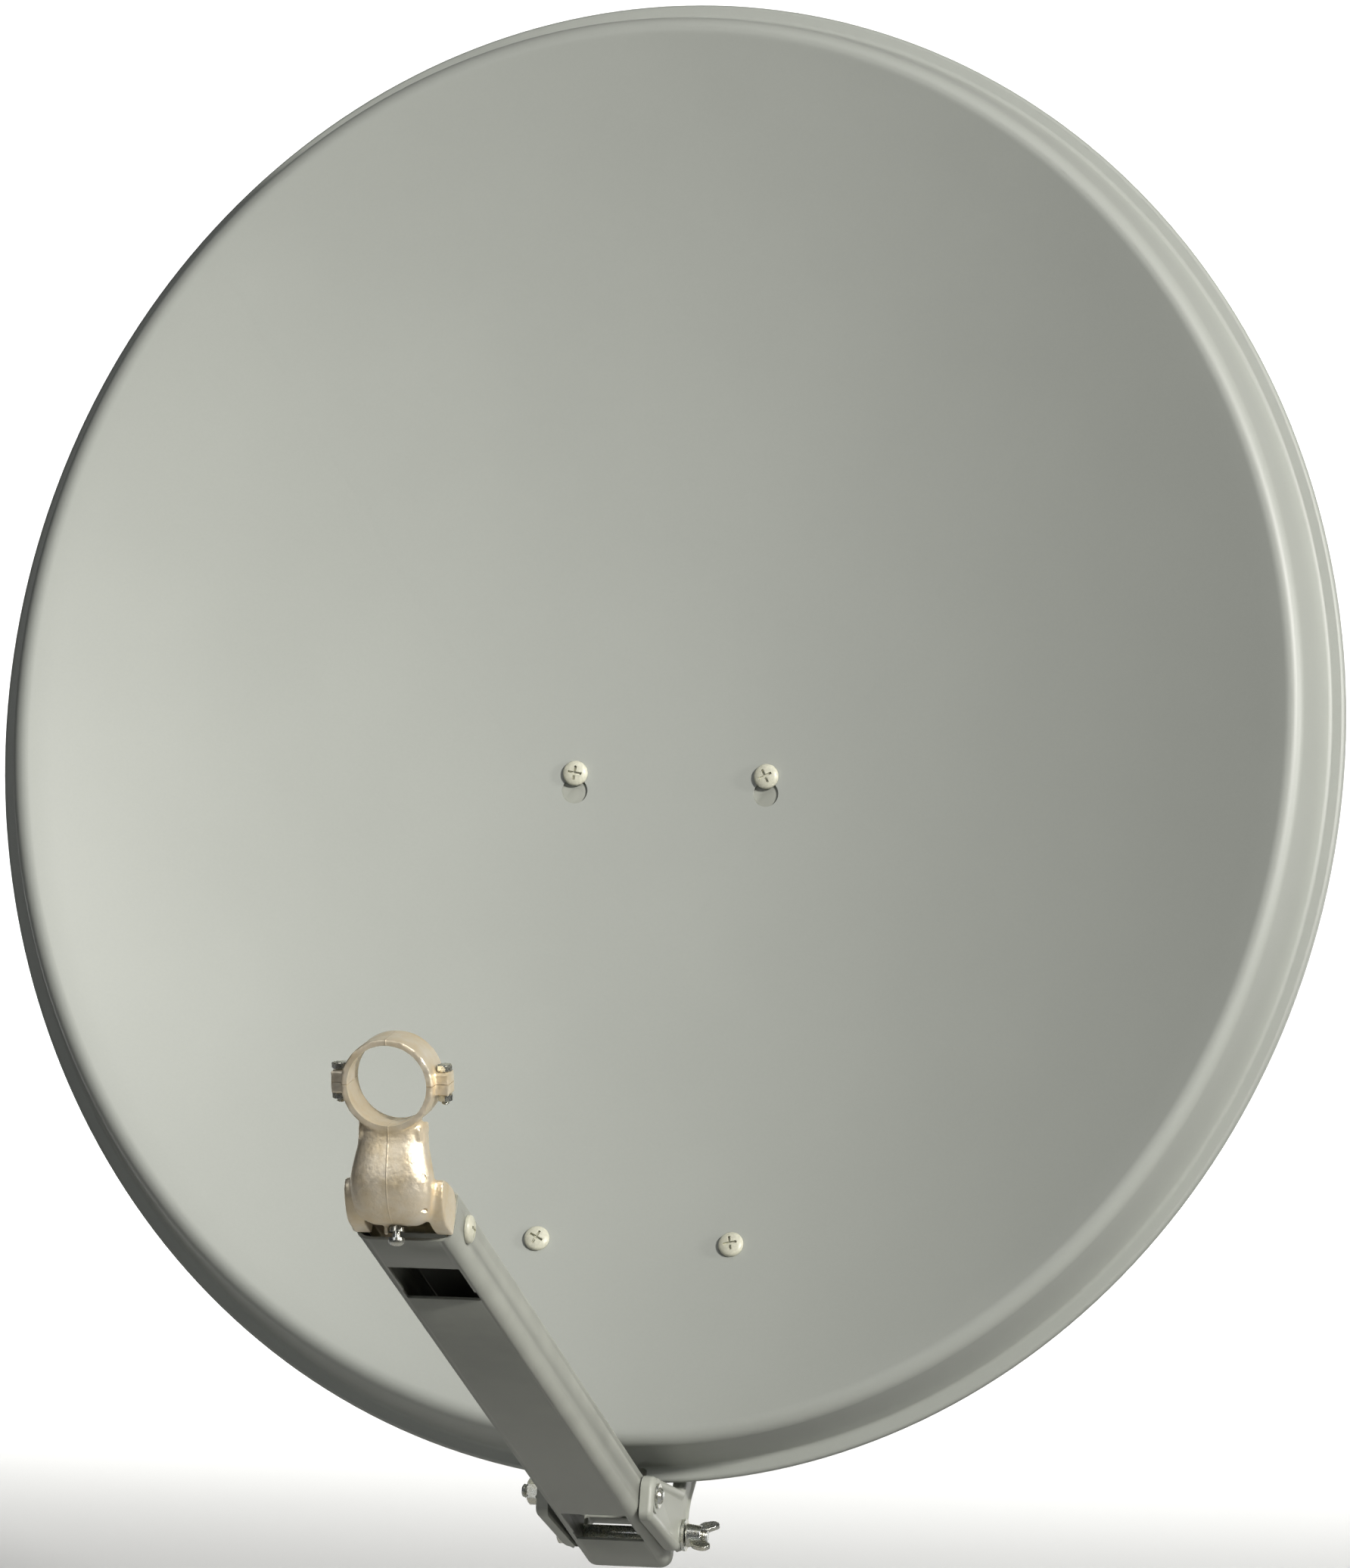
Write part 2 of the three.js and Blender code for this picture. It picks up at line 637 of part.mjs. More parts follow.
function makeArmBracket() {
  const webBack = WEB_FRONT - GAP;
  const webFront = webBack - STEEL;
  const topEdge = RIM_BOTTOM - RIM_CLEARANCE;
  const lowFront = armPoint(6, -ARM_PIVOT_UP - 1);
  const lowRear = armPoint(-LOCK_BACK + 8, -ARM_PIVOT_UP + 3);
  const rearY = armPoint(-LOCK_BACK - 11, 0)[0];
  const cheek = [
    [webBack, FRAME_NECK_Z - 2],
    [webBack, NECK_BOTTOM + 2],
    [rearY, topEdge - 3, 5],
    [rearY, lowRear[1] + 2, 6],
    [lowRear[0], lowRear[1], 6],
    [lowFront[0], lowFront[1], 10],
    [ARM_PIVOT[1] - CHEEK_NOSE_R - 2, ARM_PIVOT[2] - CHEEK_NOSE_R, 9],
    [ARM_PIVOT[1] - CHEEK_NOSE_R, ARM_PIVOT[2] + CHEEK_NOSE_R, 9],
    [LIP_BACK, topEdge, 2],
    [LIP_BACK + 2, NECK_BOTTOM + 12, 2],
    [LIP_BACK + 6, FRAME_NECK_Z - 2],
  ];
  // each cheek is a pressing with a turned rim, hollow towards the arm
  const pocket = cheek.map(([y, z, radius]) => [y + STEEL, z + STEEL, radius]);
  const sides = [-1, 1].map((side) => {
    const x0 = side < 0 ? -CHEEK_OUT : CHEEK_IN;
    const full = acrossX(outline(cheek), x0, x0 + CHEEK_RIM);
    const pocketX = side < 0 ? x0 + STEEL : x0 - 1;
    return full.subtract(acrossX(outline(pocket), pocketX, pocketX + CHEEK_RIM - STEEL + 1));
  });
  const web = box(-CHEEK_OUT, CHEEK_OUT, webFront, webBack, NECK_BOTTOM + 2, FRAME_NECK_Z - 2);
  const holes = BRACKET_BOLTS.map((z) =>
    bar(ARM_BOLT_R + BORE_CLEARANCE, [0, webFront - 1, z], [0, webBack + 1, z]),
  );
  for (const along of [0, -LOCK_BACK]) {
    const [y, z] = armPoint(along, 0);
    holes.push(bar(ARM_BOLT_R + BORE_CLEARANCE, [-CHEEK_OUT - 1, y, z], [CHEEK_OUT + 1, y, z]));
  }
  return cut(union([web, ...sides]), holes);
}
add(dish, "arm_bracket", makeArmBracket(), FRAME_PAINT);

BRACKET_BOLTS.forEach((z, i) => {
  const front = WEB_FRONT - GAP - STEEL - GAP;
  const place = i === 0 ? "lower" : "upper";
  const bolt = hexBolt(ARM_BOLT_R, 2 * STEEL + 3 * GAP + THREAD_END, M8_FLATS, M8_HEAD);
  fasten(dish, "bracket_bolt_" + place, bolt, ZINC, [0, front, z], [0, 1, 0]);
  const nut = hexNut(ARM_BOLT_R, M8_FLATS, M8_NUT);
  fasten(dish, "bracket_nut_" + place, nut, ZINC, [0, WEB_BACK + GAP, z], [0, 1, 0]);
});

// ---------------------------------------------------------------- feed arm

const arm = new THREE.Group(); // origin on the pivot, -y towards the front end, z square to the arm
arm.position.set(...ARM_PIVOT);
arm.rotation.x = -ARM_RISE;
dish.add(arm);

const ARM_BOTTOM = -ARM_PIVOT_UP;
const ARM_TOP = ARM_HEIGHT - ARM_PIVOT_UP;

function armSection(inset) {
  const half = ARM_WIDTH / 2 - inset;
  const low = ARM_BOTTOM + inset;
  const high = ARM_TOP - inset;
  return outline([
    [-half, low, ARM_EDGE_R - inset],
    [half, low, ARM_EDGE_R - inset],
    [half, high, Math.max(ARM_TOP_R - inset, 0.5)],
    [-half, high, Math.max(ARM_TOP_R - inset, 0.5)],
  ]);
}

// A window in the underside whose rear quarter is a little wider.
function windowCut(frontY) {
  const half = ARM_WIDTH / 2 - WINDOW_SIDE;
  const wide = half + WINDOW_STEP;
  const stepY = frontY + WINDOW_LENGTH * 0.74;
  const rearY = frontY + WINDOW_LENGTH;
  const low = ARM_BOTTOM - 1;
  const high = ARM_BOTTOM + ARM_WALL + 0.5;
  return union([
    box(-half, half, frontY, rearY, low, high),
    box(-wide, wide, stepY, rearY, low, high),
  ]);
}

// The slot by which the arm's tail swings off the lock bolt: an arc about the pivot, through the
// sides and the top.
function lockSlot() {
  const width = ARM_BOLT_R + BORE_CLEARANCE;
  const leave = Math.asin((ARM_TOP + width + 6) / LOCK_BACK);
  const shape = new THREE.Shape();
  shape.absarc(0, 0, LOCK_BACK + width, 0, leave, false);
  shape.absarc(0, 0, LOCK_BACK - width, leave, 0, true);
  shape.absarc(LOCK_BACK, 0, width, Math.PI, 2 * Math.PI, false);
  return acrossX(shape, -ARM_WIDTH / 2 - 1, ARM_WIDTH / 2 + 1, 8);
}

function makeFeedArm() {
  const bolt = ARM_BOLT_R + BORE_CLEARANCE;
  const across = (radius, y, z) => bar(radius, [-ARM_WIDTH, y, z], [ARM_WIDTH, y, z]);
  return cut(alongY(armSection(0), -ARM_REACH, ARM_TAIL), [
    alongY(armSection(ARM_WALL), -ARM_REACH - 1, ARM_TAIL + 1),
    windowCut(-ARM_REACH + FRONT_WINDOW),
    windowCut(REAR_WINDOW),
    across(bolt, 0, 0),
    across(SCREW_R + BORE_CLEARANCE, -ARM_REACH + SIDE_SCREW_BACK, 0),
    lockSlot(),
  ]);
}
add(arm, "feed_arm", makeFeedArm(), ARM_PAINT);

// Pivot bolt, lock bolt and wing nut belong to the bracket, along x.
const lockAt = armPoint(-LOCK_BACK, 0);
const boltSpan = 2 * CHEEK_OUT + 2 * GAP;
fasten(
  dish,
  "arm_pivot_bolt",
  panScrew(ARM_BOLT_R, boltSpan + 10, 6.8, 3.4),
  ZINC,
  [CHEEK_OUT + GAP, ARM_PIVOT[1], ARM_PIVOT[2]],
  [-1, 0, 0],
);
fasten(
  dish,
  "arm_pivot_nut",
  hexNut(ARM_BOLT_R, M8_FLATS, M8_NUT),
  ZINC,
  [-CHEEK_OUT - GAP, ARM_PIVOT[1], ARM_PIVOT[2]],
  [-1, 0, 0],
);
fasten(
  dish,
  "arm_lock_bolt",
  hexBolt(ARM_BOLT_R, boltSpan + WASHER_T + GAP + 12, M8_FLATS, M8_HEAD),
  ZINC,
  [-CHEEK_OUT - GAP, ...lockAt],
  [1, 0, 0],
);
fasten(
  dish,
  "arm_lock_washer",
  washer(ARM_BOLT_R, WASHER_R, WASHER_T),
  ZINC,
  [CHEEK_OUT + GAP, ...lockAt],
  [1, 0, 0],
);
fasten(
  dish,
  "arm_wing_nut",
  wingNut(ARM_BOLT_R),
  ZINC,
  [CHEEK_OUT + 2 * GAP + WASHER_T, ...lockAt],
  [1, 0, 0],
);

// ---------------------------------------------------------------- LNB holder

// The holder's frame: origin at the arm's front end on the pivot line, turned back so that its y
// and z are those of the dish.
const holder = new THREE.Group();
holder.position.set(0, -ARM_REACH, 0);
holder.rotation.x = ARM_RISE;
arm.add(holder);
const WITH_ARM = new THREE.Matrix4().makeRotationX(-ARM_RISE);
const RING_AT = [0, -RING_FORWARD, RING_UP];
const WITH_RING = new THREE.Matrix4()
  .makeTranslation(...RING_AT)
  .multiply(new THREE.Matrix4().makeRotationX(RING_TILT));
const RING_OUT = NECK_BORE_R + RING_WALL;
const LUG_OUT = RING_OUT + LUG_REACH;
const CLAMP_X = RING_OUT + LUG_REACH / 2;

// One half of the clamp ring with its two lugs, above (1) or below (-1) the split.
function halfRing(side) {
  const shape = new THREE.Shape();
  const start = Math.asin(GAP / 2 / RING_OUT);
  const inner = Math.asin(GAP / 2 / NECK_BORE_R);
  shape.absarc(0, 0, RING_OUT, start, Math.PI - start, false);
  shape.absarc(0, 0, NECK_BORE_R, Math.PI - inner, inner, true);
  const half = RING_LENGTH / 2;
  const arch = alongY(shape, -half, half, 9);
  const long = LUG_LENGTH / 2;
  const lugs = [-1, 1].map((hand) => {
    const x0 = hand < 0 ? -LUG_OUT : NECK_BORE_R + 1.5;
    const x1 = hand < 0 ? -NECK_BORE_R - 1.5 : LUG_OUT;
    return box(x0, x1, -long, long, GAP / 2, LUG_T);
  });
  const holes = [-1, 1].map((hand) => {
    const x = hand * CLAMP_X;
    return bar(CLAMP_SCREW_R + BORE_CLEARANCE, [x, 0, -1], [x, 0, LUG_T + 1], 12);
  });
  const whole = geometryOf(cut(union([arch, ...lugs]), holes));
  if (side < 0) whole.rotateY(Math.PI);
  return solid(whole.applyMatrix4(WITH_RING));
}

// The cast boot under the ring: elliptic sections from the ring down to its rounded foot, each
// [forwards, up, half width as a share of the arm's, half depth].
const BOOT = [
  [RING_FORWARD - 4, 41, 0.66, 10],
  [35.5, 38, 0.68, 11],
  [33.5, 30, 0.696, 11.5],
  [33, 23.5, 0.748, 12],
  [32, 13.5, 0.824, 12.5],
  [29.8, 5, 0.816, 12.3],
  [26.5, -2, 0.76, 11],
  [23.5, -6.4, 0.632, 8.6],
  [21.8, -8.6, 0.44, 6],
];

function bootLoft() {
  const around = 16;
  const loops = BOOT.map(([forwards, up, share, halfDepth]) => {
    const halfWidth = (share * ARM_WIDTH) / 2;
    const loop = [];
    for (let k = 0; k < around; k++) {
      const angle = (2 * Math.PI * k) / around;
      loop.push([halfWidth * Math.cos(angle), -forwards + halfDepth * Math.sin(angle), up]);
    }
    return loop;
  });
  return skin(loops.reverse());
}

const TONGUE_HALF = ARM_WIDTH / 2 - ARM_WALL - 2 * GAP;

function makeHolder() {
  const low = ARM_BOTTOM + ARM_WALL + GAP;
  const high = ARM_TOP - ARM_WALL - GAP;
  // legs flush with the arm's sides, [forwards, up] along the arm
  const leg = outline(
    [
      [GAP, low + 1, 2],
      [GAP, 3, 4],
      [8, high, 6],
      [28, high + 1, 4],
      [42, high + 4, 4],
      [36, -2, 6],
      [20, low + 1, 6],
    ].map(([forwards, up, radius]) => [-forwards, up, radius]),
  );
  const pieces = [];
  for (const side of [-1, 1]) {
    const legIn = TONGUE_HALF - TONGUE_WALL;
    const legX = side < 0 ? -ARM_WIDTH / 2 : legIn;
    pieces.push(acrossX(leg, legX, legX + ARM_WIDTH / 2 - legIn));
    const wallX = side < 0 ? -TONGUE_HALF : legIn;
    // the tongue's walls stop above the arm's rounded lower edges
    const wallLow = low + ARM_EDGE_R - ARM_WALL;
    pieces.push(box(wallX, wallX + TONGUE_WALL, -6, TONGUE_LENGTH, wallLow, high));
  }
  pieces.push(box(-TONGUE_HALF, TONGUE_HALF, -14, TONGUE_LENGTH, high - 4, high - GAP));
  const screwY = SIDE_SCREW_BACK;
  const sideHole = bar(
    SCREW_R + BORE_CLEARANCE,
    [-ARM_WIDTH, screwY, 0],
    [ARM_WIDTH, screwY, 0],
  );
  const saddle = union(pieces).subtract(sideHole);
  const saddleInPlace = solid(geometryOf(saddle).applyMatrix4(WITH_ARM));
  // foot of the ring on the boot, and the small pip beside the screw under it
  const ringFoot = box(-15.5, 15.5, -9, 9, -RING_OUT - 4, -RING_OUT + 1.6, WITH_RING);
  const pip = box(-6.2, -4, FOOT_SCREW_BACK - 2, FOOT_SCREW_BACK + 0.4, FOOT_SCREW_SEAT - 4.2, -4);
  const screwHole = bar(
    CLAMP_SCREW_R + BORE_CLEARANCE,
    [0, FOOT_SCREW_BACK, FOOT_SCREW_SEAT - 3],
    [0, FOOT_SCREW_BACK, 8],
    12,
  );
  const spotFace = bar(
    4.4,
    [0, FOOT_SCREW_BACK, FOOT_SCREW_SEAT - 11],
    [0, FOOT_SCREW_BACK, FOOT_SCREW_SEAT],
  );
  const bored = bar(NECK_BORE_R, [0, -40, 0], [0, 40, 0], 36);
  const clear = solid(geometryOf(bored).applyMatrix4(WITH_RING));
  const body = union([halfRing(-1), bootLoft(), saddleInPlace, ringFoot, pip]);
  return cut(body, [clear, screwHole, spotFace]);
}
add(holder, "lnb_holder", makeHolder(), CAST);
add(holder, "lnb_clamp_cap", halfRing(1), CAST);

const ringDirection = new THREE.Vector3(0, 0, 1).transformDirection(WITH_RING);
const ringPoint = (x, y, z) => new THREE.Vector3(x, y, z).applyMatrix4(WITH_RING).toArray();
const downRing = ringDirection.clone().negate().toArray();
const CLAMP_SCREW_LENGTH = 2 * LUG_T + 2 * GAP + 5;
for (const [place, side] of [["left", -1], ["right", 1]]) {
  const x = side * CLAMP_X;
  const screw = hexBolt(CLAMP_SCREW_R, CLAMP_SCREW_LENGTH, M4_FLATS, M4_HEIGHT);
  fasten(holder, "clamp_screw_" + place, screw, ZINC, ringPoint(x, 0, LUG_T + GAP), downRing);
  const nut = hexNut(CLAMP_SCREW_R, M4_FLATS, M4_HEIGHT);
  fasten(holder, "clamp_nut_" + place, nut, ZINC, ringPoint(x, 0, -LUG_T - GAP), downRing);
}

// Screw through the arm's sides and the tongue.
fasten(
  arm,
  "holder_side_screw",
  panScrew(SCREW_R, ARM_WIDTH + 2 * GAP + 8, SCREW_HEAD_R, SCREW_HEAD_H),
  CREAM,
  [ARM_WIDTH / 2 + GAP, -ARM_REACH + SIDE_SCREW_BACK, 0],
  [-1, 0, 0],
);
fasten(
  arm,
  "holder_side_nut",
  hexNut(SCREW_R, M6_FLATS, M6_NUT),
  ZINC,
  [-ARM_WIDTH / 2 - GAP, -ARM_REACH + SIDE_SCREW_BACK, 0],
  [-1, 0, 0],
);

// Shouldered screw with a domed head under the boot, and its washer.
const footSeat = FOOT_SCREW_SEAT - GAP;
fasten(
  holder,
  "foot_washer",
  washer(CLAMP_SCREW_R, 3.8, FOOT_WASHER_T),
  ZINC,
  [0, FOOT_SCREW_BACK, footSeat],
  [0, 0, -1],
);
fasten(
  holder,
  "foot_screw",
  panScrew(CLAMP_SCREW_R, FOOT_WASHER_T + FOOT_NECK + 10, 4.1, 4),
  ZINC,
  [0, FOOT_SCREW_BACK, footSeat - FOOT_WASHER_T - FOOT_NECK],
  [0, 0, 1],
);

// ---------------------------------------------------------------- elevation head and mast clamp

const HEAD_IN = EAR_X + STEEL + 0.8; // inner face of the head's cheeks
const HEAD_OUT = HEAD_IN + HEAD_PLATE;
const SADDLE_Y = -MAST_R / Math.sin(V_HALF_ANGLE); // point of the V, from the mast axis
const PLATE_BACK = SADDLE_Y - 0.4;

// Lean of the dish's frame about the pivot puts the pivot at (0, -PIVOT_TO_MAST, 0).
dish.rotation.x = -REST_TILT;
const pivotInDish = new THREE.Vector3(0, PIVOT_Y, PIVOT_FACE_Z).applyEuler(dish.rotation);
dish.position.set(0, -PIVOT_TO_MAST - pivotInDish.y, -pivotInDish.z);

// A horizontal toothed plate with a V for the mast, in front (-1) of the mast or behind it (1).
function vPlate(side, z) {
  const half = CLAMP_BOLT_X - 8;
  const back = -PLATE_BACK + 0.5;
  const pitch = half / V_TEETH;
  const flank = [];
  for (let i = 1; i <= V_TEETH; i++) {
    const x = pitch * i;
    const y = -SADDLE_Y - x / Math.tan(V_HALF_ANGLE);
    flank.push([x, y]);
    if (i < V_TEETH) flank.push([x + pitch * 0.15, y + TOOTH_DEPTH]);
  }
  const left = flank.map(([x, y]) => [-x, y]);
  const points = [[0, -SADDLE_Y], ...left, [-half, back], [half, back], ...flank.reverse()];
  const placed = points.map(([x, y]) => [side * x, side * y]);
  return alongZ(outline(placed), z, z + V_PLATE);
}

function clampPlate(side) {
  const wing = outline([
    [-CLAMP_WING_X, -CLAMP_HALF_HEIGHT, 8],
    [CLAMP_WING_X, -CLAMP_HALF_HEIGHT, 8],
    [CLAMP_WING_X, CLAMP_HALF_HEIGHT, 8],
    [-CLAMP_WING_X, CLAMP_HALF_HEIGHT, 8],
  ]);
  const y0 = side < 0 ? PLATE_BACK - HEAD_PLATE : -PLATE_BACK;
  const parts = [alongY(wing, y0, y0 + HEAD_PLATE)];
  for (const z of [-CLAMP_HALF_HEIGHT + 5, CLAMP_HALF_HEIGHT - 5 - V_PLATE]) {
    parts.push(vPlate(side, z));
  }
  const holes = [-1, 1].map((hand) =>
    bar(
      HEAD_BOLT_R + BORE_CLEARANCE,
      [hand * CLAMP_BOLT_X, y0 - 1, 0],
      [hand * CLAMP_BOLT_X, y0 + HEAD_PLATE + 1, 0],
    ),
  );
  return cut(union(parts), holes);
}

// Curved slot for the elevation lock bolts, drawn in (y, z) about the pivot.
function elevationSlot() {
  const width = HEAD_BOLT_R + BORE_CLEARANCE;
  const margin = THREE.MathUtils.degToRad(0.6);
  const high = Math.PI / 2 + ELEVATION_DOWN + margin; // towards the dish
  const low = Math.PI / 2 - ELEVATION_UP - margin; // towards the mast
  const end = (angle) => [LOCK_RADIUS * Math.cos(angle), LOCK_RADIUS * Math.sin(angle)];
  const shape = new THREE.Shape();
  shape.absarc(0, 0, LOCK_RADIUS + width, low, high, false);
  shape.absarc(...end(high), width, high, high + Math.PI, false);
  shape.absarc(0, 0, LOCK_RADIUS - width, high, low, true);
  shape.absarc(...end(low), width, low + Math.PI, low + 2 * Math.PI, false);
  const geometry = extruded(shape, 2 * HEAD_OUT + 4, 8).applyMatrix4(ALONG_X);
  return solid(geometry.translate(-HEAD_OUT - 2, -PIVOT_TO_MAST, 0));
}

function makeMastHead() {
  const pivot = -PIVOT_TO_MAST;
  const slotBack = LOCK_RADIUS * Math.sin(ELEVATION_UP) + HEAD_BOLT_R + SLOT_METAL;
  const cheek = outline([
    [pivot + 10, -18, 10],
    [pivot - 10, -16, 12],
    [pivot - 16, 0, 14],
    [pivot - CHEEK_FRONT, CHEEK_UP - 12, 10],
    [pivot - CHEEK_FRONT + 8, CHEEK_UP, 10],
    [pivot + slotBack, CHEEK_UP, 12],
    [PLATE_BACK - 0.5, CLAMP_HALF_HEIGHT - 2],
    [PLATE_BACK - 0.5, -CLAMP_HALF_HEIGHT + 2],
  ]);
  const parts = [clampPlate(-1)];
  for (const x of [-HEAD_OUT, HEAD_IN]) parts.push(acrossX(cheek, x, x + HEAD_PLATE));
  const pivotHole = bar(
    HEAD_BOLT_R + BORE_CLEARANCE,
    [-HEAD_OUT - 1, pivot, 0],
    [HEAD_OUT + 1, pivot, 0],
  );
  return cut(union(parts), [pivotHole, elevationSlot()]);
}
add(root, "mast_head", makeMastHead(), FRAME_PAINT);
add(root, "mast_jaw", clampPlate(1), FRAME_PAINT);

const plateFront = PLATE_BACK - HEAD_PLATE;
for (const [place, side] of [["left", -1], ["right", 1]]) {
  const x = side * CLAMP_BOLT_X;
  const grip = 2 * -plateFront + WASHER_T + 3 * GAP;
  const bolt = hexBolt(HEAD_BOLT_R, grip + 14, M8_FLATS, M8_HEAD);
  fasten(root, "mast_bolt_" + place, bolt, ZINC, [x, plateFront - GAP, 0], [0, 1, 0]);
  const disc = washer(HEAD_BOLT_R, WASHER_R, WASHER_T);
  fasten(root, "mast_washer_" + place, disc, ZINC, [x, -plateFront + GAP, 0], [0, 1, 0]);
  const nut = hexNut(HEAD_BOLT_R, M8_FLATS, M8_NUT);
  const seat = -plateFront + 2 * GAP + WASHER_T;
  fasten(root, "mast_nut_" + place, nut, ZINC, [x, seat, 0], [0, 1, 0]);
}

// Elevation pivot: one bolt through both cheeks and both ears.
fasten(
  root,
  "elevation_pivot_bolt",
  hexBolt(HEAD_BOLT_R, 2 * HEAD_OUT + 2 * GAP + THREAD_END, M8_FLATS, M8_HEAD),
  ZINC,
  [HEAD_OUT + GAP, -PIVOT_TO_MAST, 0],
  [-1, 0, 0],
);
fasten(
  root,
  "elevation_pivot_nut",
  hexNut(HEAD_BOLT_R, M8_FLATS, M8_NUT),
  ZINC,
  [-HEAD_OUT - GAP, -PIVOT_TO_MAST, 0],
  [-1, 0, 0],
);

// Elevation lock bolts ride on the ears and slide in the head's curved slots.
for (const [place, side] of [["left", -1], ["right", 1]]) {
  const inner = side * (EAR_X - GAP);
  const outward = [side, 0, 0];
  const stack = STEEL + GAP + (HEAD_OUT - EAR_X - STEEL) + GAP;
  const at = (x) => [x, LOCK_Y, LOCK_Z];
  const bolt = hexBolt(HEAD_BOLT_R, stack + WASHER_T + GAP + THREAD_END, M8_FLATS, M8_HEAD);
  fasten(dish, "elevation_lock_bolt_" + place, bolt, ZINC, at(inner), outward);
  const face = side * (HEAD_OUT + GAP);
  const disc = washer(HEAD_BOLT_R, WASHER_R, WASHER_T);
  fasten(dish, "elevation_lock_washer_" + place, disc, ZINC, at(face), outward);
  const nut = hexNut(HEAD_BOLT_R, M8_FLATS, M8_NUT);
  const nutAt = face + side * (WASHER_T + GAP);
  fasten(dish, "elevation_lock_nut_" + place, nut, ZINC, at(nutAt), outward);
}

export default root;
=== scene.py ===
"""Visual pieces of an offset satellite dish on its mast clamp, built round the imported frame.

Shapes are worked out in millimetres in five frames: the mast's, the reflector's, the arm's, the
receiver holder's and its ring's. Every finished mesh is in metres, in the mast's frame, with its
object at the origin.
"""
import json
import math

import bmesh
import bpy
from bpy.props import FloatProperty, IntProperty, PointerProperty, StringProperty
from mathutils import Matrix, Vector


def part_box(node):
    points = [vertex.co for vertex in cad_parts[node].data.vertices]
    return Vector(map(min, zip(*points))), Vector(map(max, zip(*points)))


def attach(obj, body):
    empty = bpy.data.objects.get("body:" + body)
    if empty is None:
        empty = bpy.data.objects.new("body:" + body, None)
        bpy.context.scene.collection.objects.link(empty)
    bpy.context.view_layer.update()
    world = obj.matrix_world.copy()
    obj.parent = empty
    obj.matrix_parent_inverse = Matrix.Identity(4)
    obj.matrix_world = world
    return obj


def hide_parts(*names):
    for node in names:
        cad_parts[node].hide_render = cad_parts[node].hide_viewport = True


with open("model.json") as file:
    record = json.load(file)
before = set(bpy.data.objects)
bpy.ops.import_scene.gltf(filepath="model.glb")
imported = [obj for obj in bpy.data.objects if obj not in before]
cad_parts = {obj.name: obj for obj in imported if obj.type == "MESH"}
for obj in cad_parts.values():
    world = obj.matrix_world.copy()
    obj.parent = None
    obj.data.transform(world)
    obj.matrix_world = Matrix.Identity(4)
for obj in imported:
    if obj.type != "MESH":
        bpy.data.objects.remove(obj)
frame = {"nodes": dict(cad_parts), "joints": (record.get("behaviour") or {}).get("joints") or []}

bl_info = {
    "name": "Offset satellite dish",
    "version": (1, 0, 0),
    "blender": (4, 5, 0),
    "location": "View3D > Sidebar > Dish",
    "description": "Builds the dish, its feed arm, its mast clamp and the stage",
    "category": "Object",
}

GAP = 0.3  # between pieces that touch, mm
CLEARANCE = 0.4  # of a hole over its bolt, on the radius, mm

# Sizes in mm that several pieces share
M8, M6, M4 = 4.0, 3.0, 2.0  # shank radii
WASHER = 1.6  # thickness
SHEET_STEEL = 2.2  # of the rear frame, the head and the bracket
FACE_SCREW_SIDE = 56.0  # screws through the face, off its middle line
FACE_SCREW_HIGH = -20.0  # the upper two, over the centre
FACE_SCREW_LOW = 134.3  # the lower two, over the rim's lowest edge
KEYHOLE = 7.4  # radius of the hanging slots' round part
KEYHOLE_DROP = 10.0  # of that part below its screw
STANDOFF = 14.0  # frame's web behind the deepest part of the face
WEB_FOOT = 5.0  # lower edge of the web over the rim's lowest edge
WEB_BOLTS = (18.0, 52.0)  # bracket's bolts over that edge
NECK_DROP = 57.0  # top of the web's narrow part below the lower face screws
RIM_ROOM = 3.0  # cheeks below the rim
LIP_ROOM = 4.0  # cheeks behind the lip
ARM_AXIS = 15.0  # arm's pivot over its underside
ARM_LOCK = 73.5  # arm's lock bolt behind its pivot
ARM_PLAY = 0.8  # between the arm and a cheek
CHEEK = 7.2  # depth of a cheek across the dish
SIDE_SCREW = 24.0  # holder's side screw behind the arm's front end
FOOT_SCREW = (-18.0, -9.0)  # seat of the holder's foot screw: backwards, upwards
RING_SPOT = (0.0, -42.0, 60.0)  # ring's centre from the arm's front end
LUG = (6.6, 12.0, 5.5)  # ring's lugs: reach, length along the bore, thickness of one half
MAST = 25.0  # radius
V_ANGLE = math.radians(65)  # of a clamp's flank off the clamping direction
CLAMP_BOLT = 47.0  # mast bolts off the mast's axis
HEAD_PIVOT = -95.0  # elevation pivot behind the mast's axis
EAR = 28.0  # inner face of the frame's ears off the middle
HEAD_PLATE = 2.5  # cheeks of the head
THREAD_END = 9.0  # of a bolt past the seat of its nut


# ---------------------------------------------------------------- what a user would change


def size(name, description, value):
    """A length in metres."""
    return FloatProperty(
        name=name,
        description=description,
        default=value,
        unit="LENGTH",
        subtype="DISTANCE",
        precision=4,
    )


def angle(name, description, degrees):
    """An angle, given here in degrees."""
    return FloatProperty(
        name=name,
        description=description,
        default=math.radians(degrees),
        unit="ROTATION",
        subtype="ANGLE",
    )


def colour(name, description, value):
    """An sRGB hex colour."""
    return StringProperty(name=name, description=description, default=value)


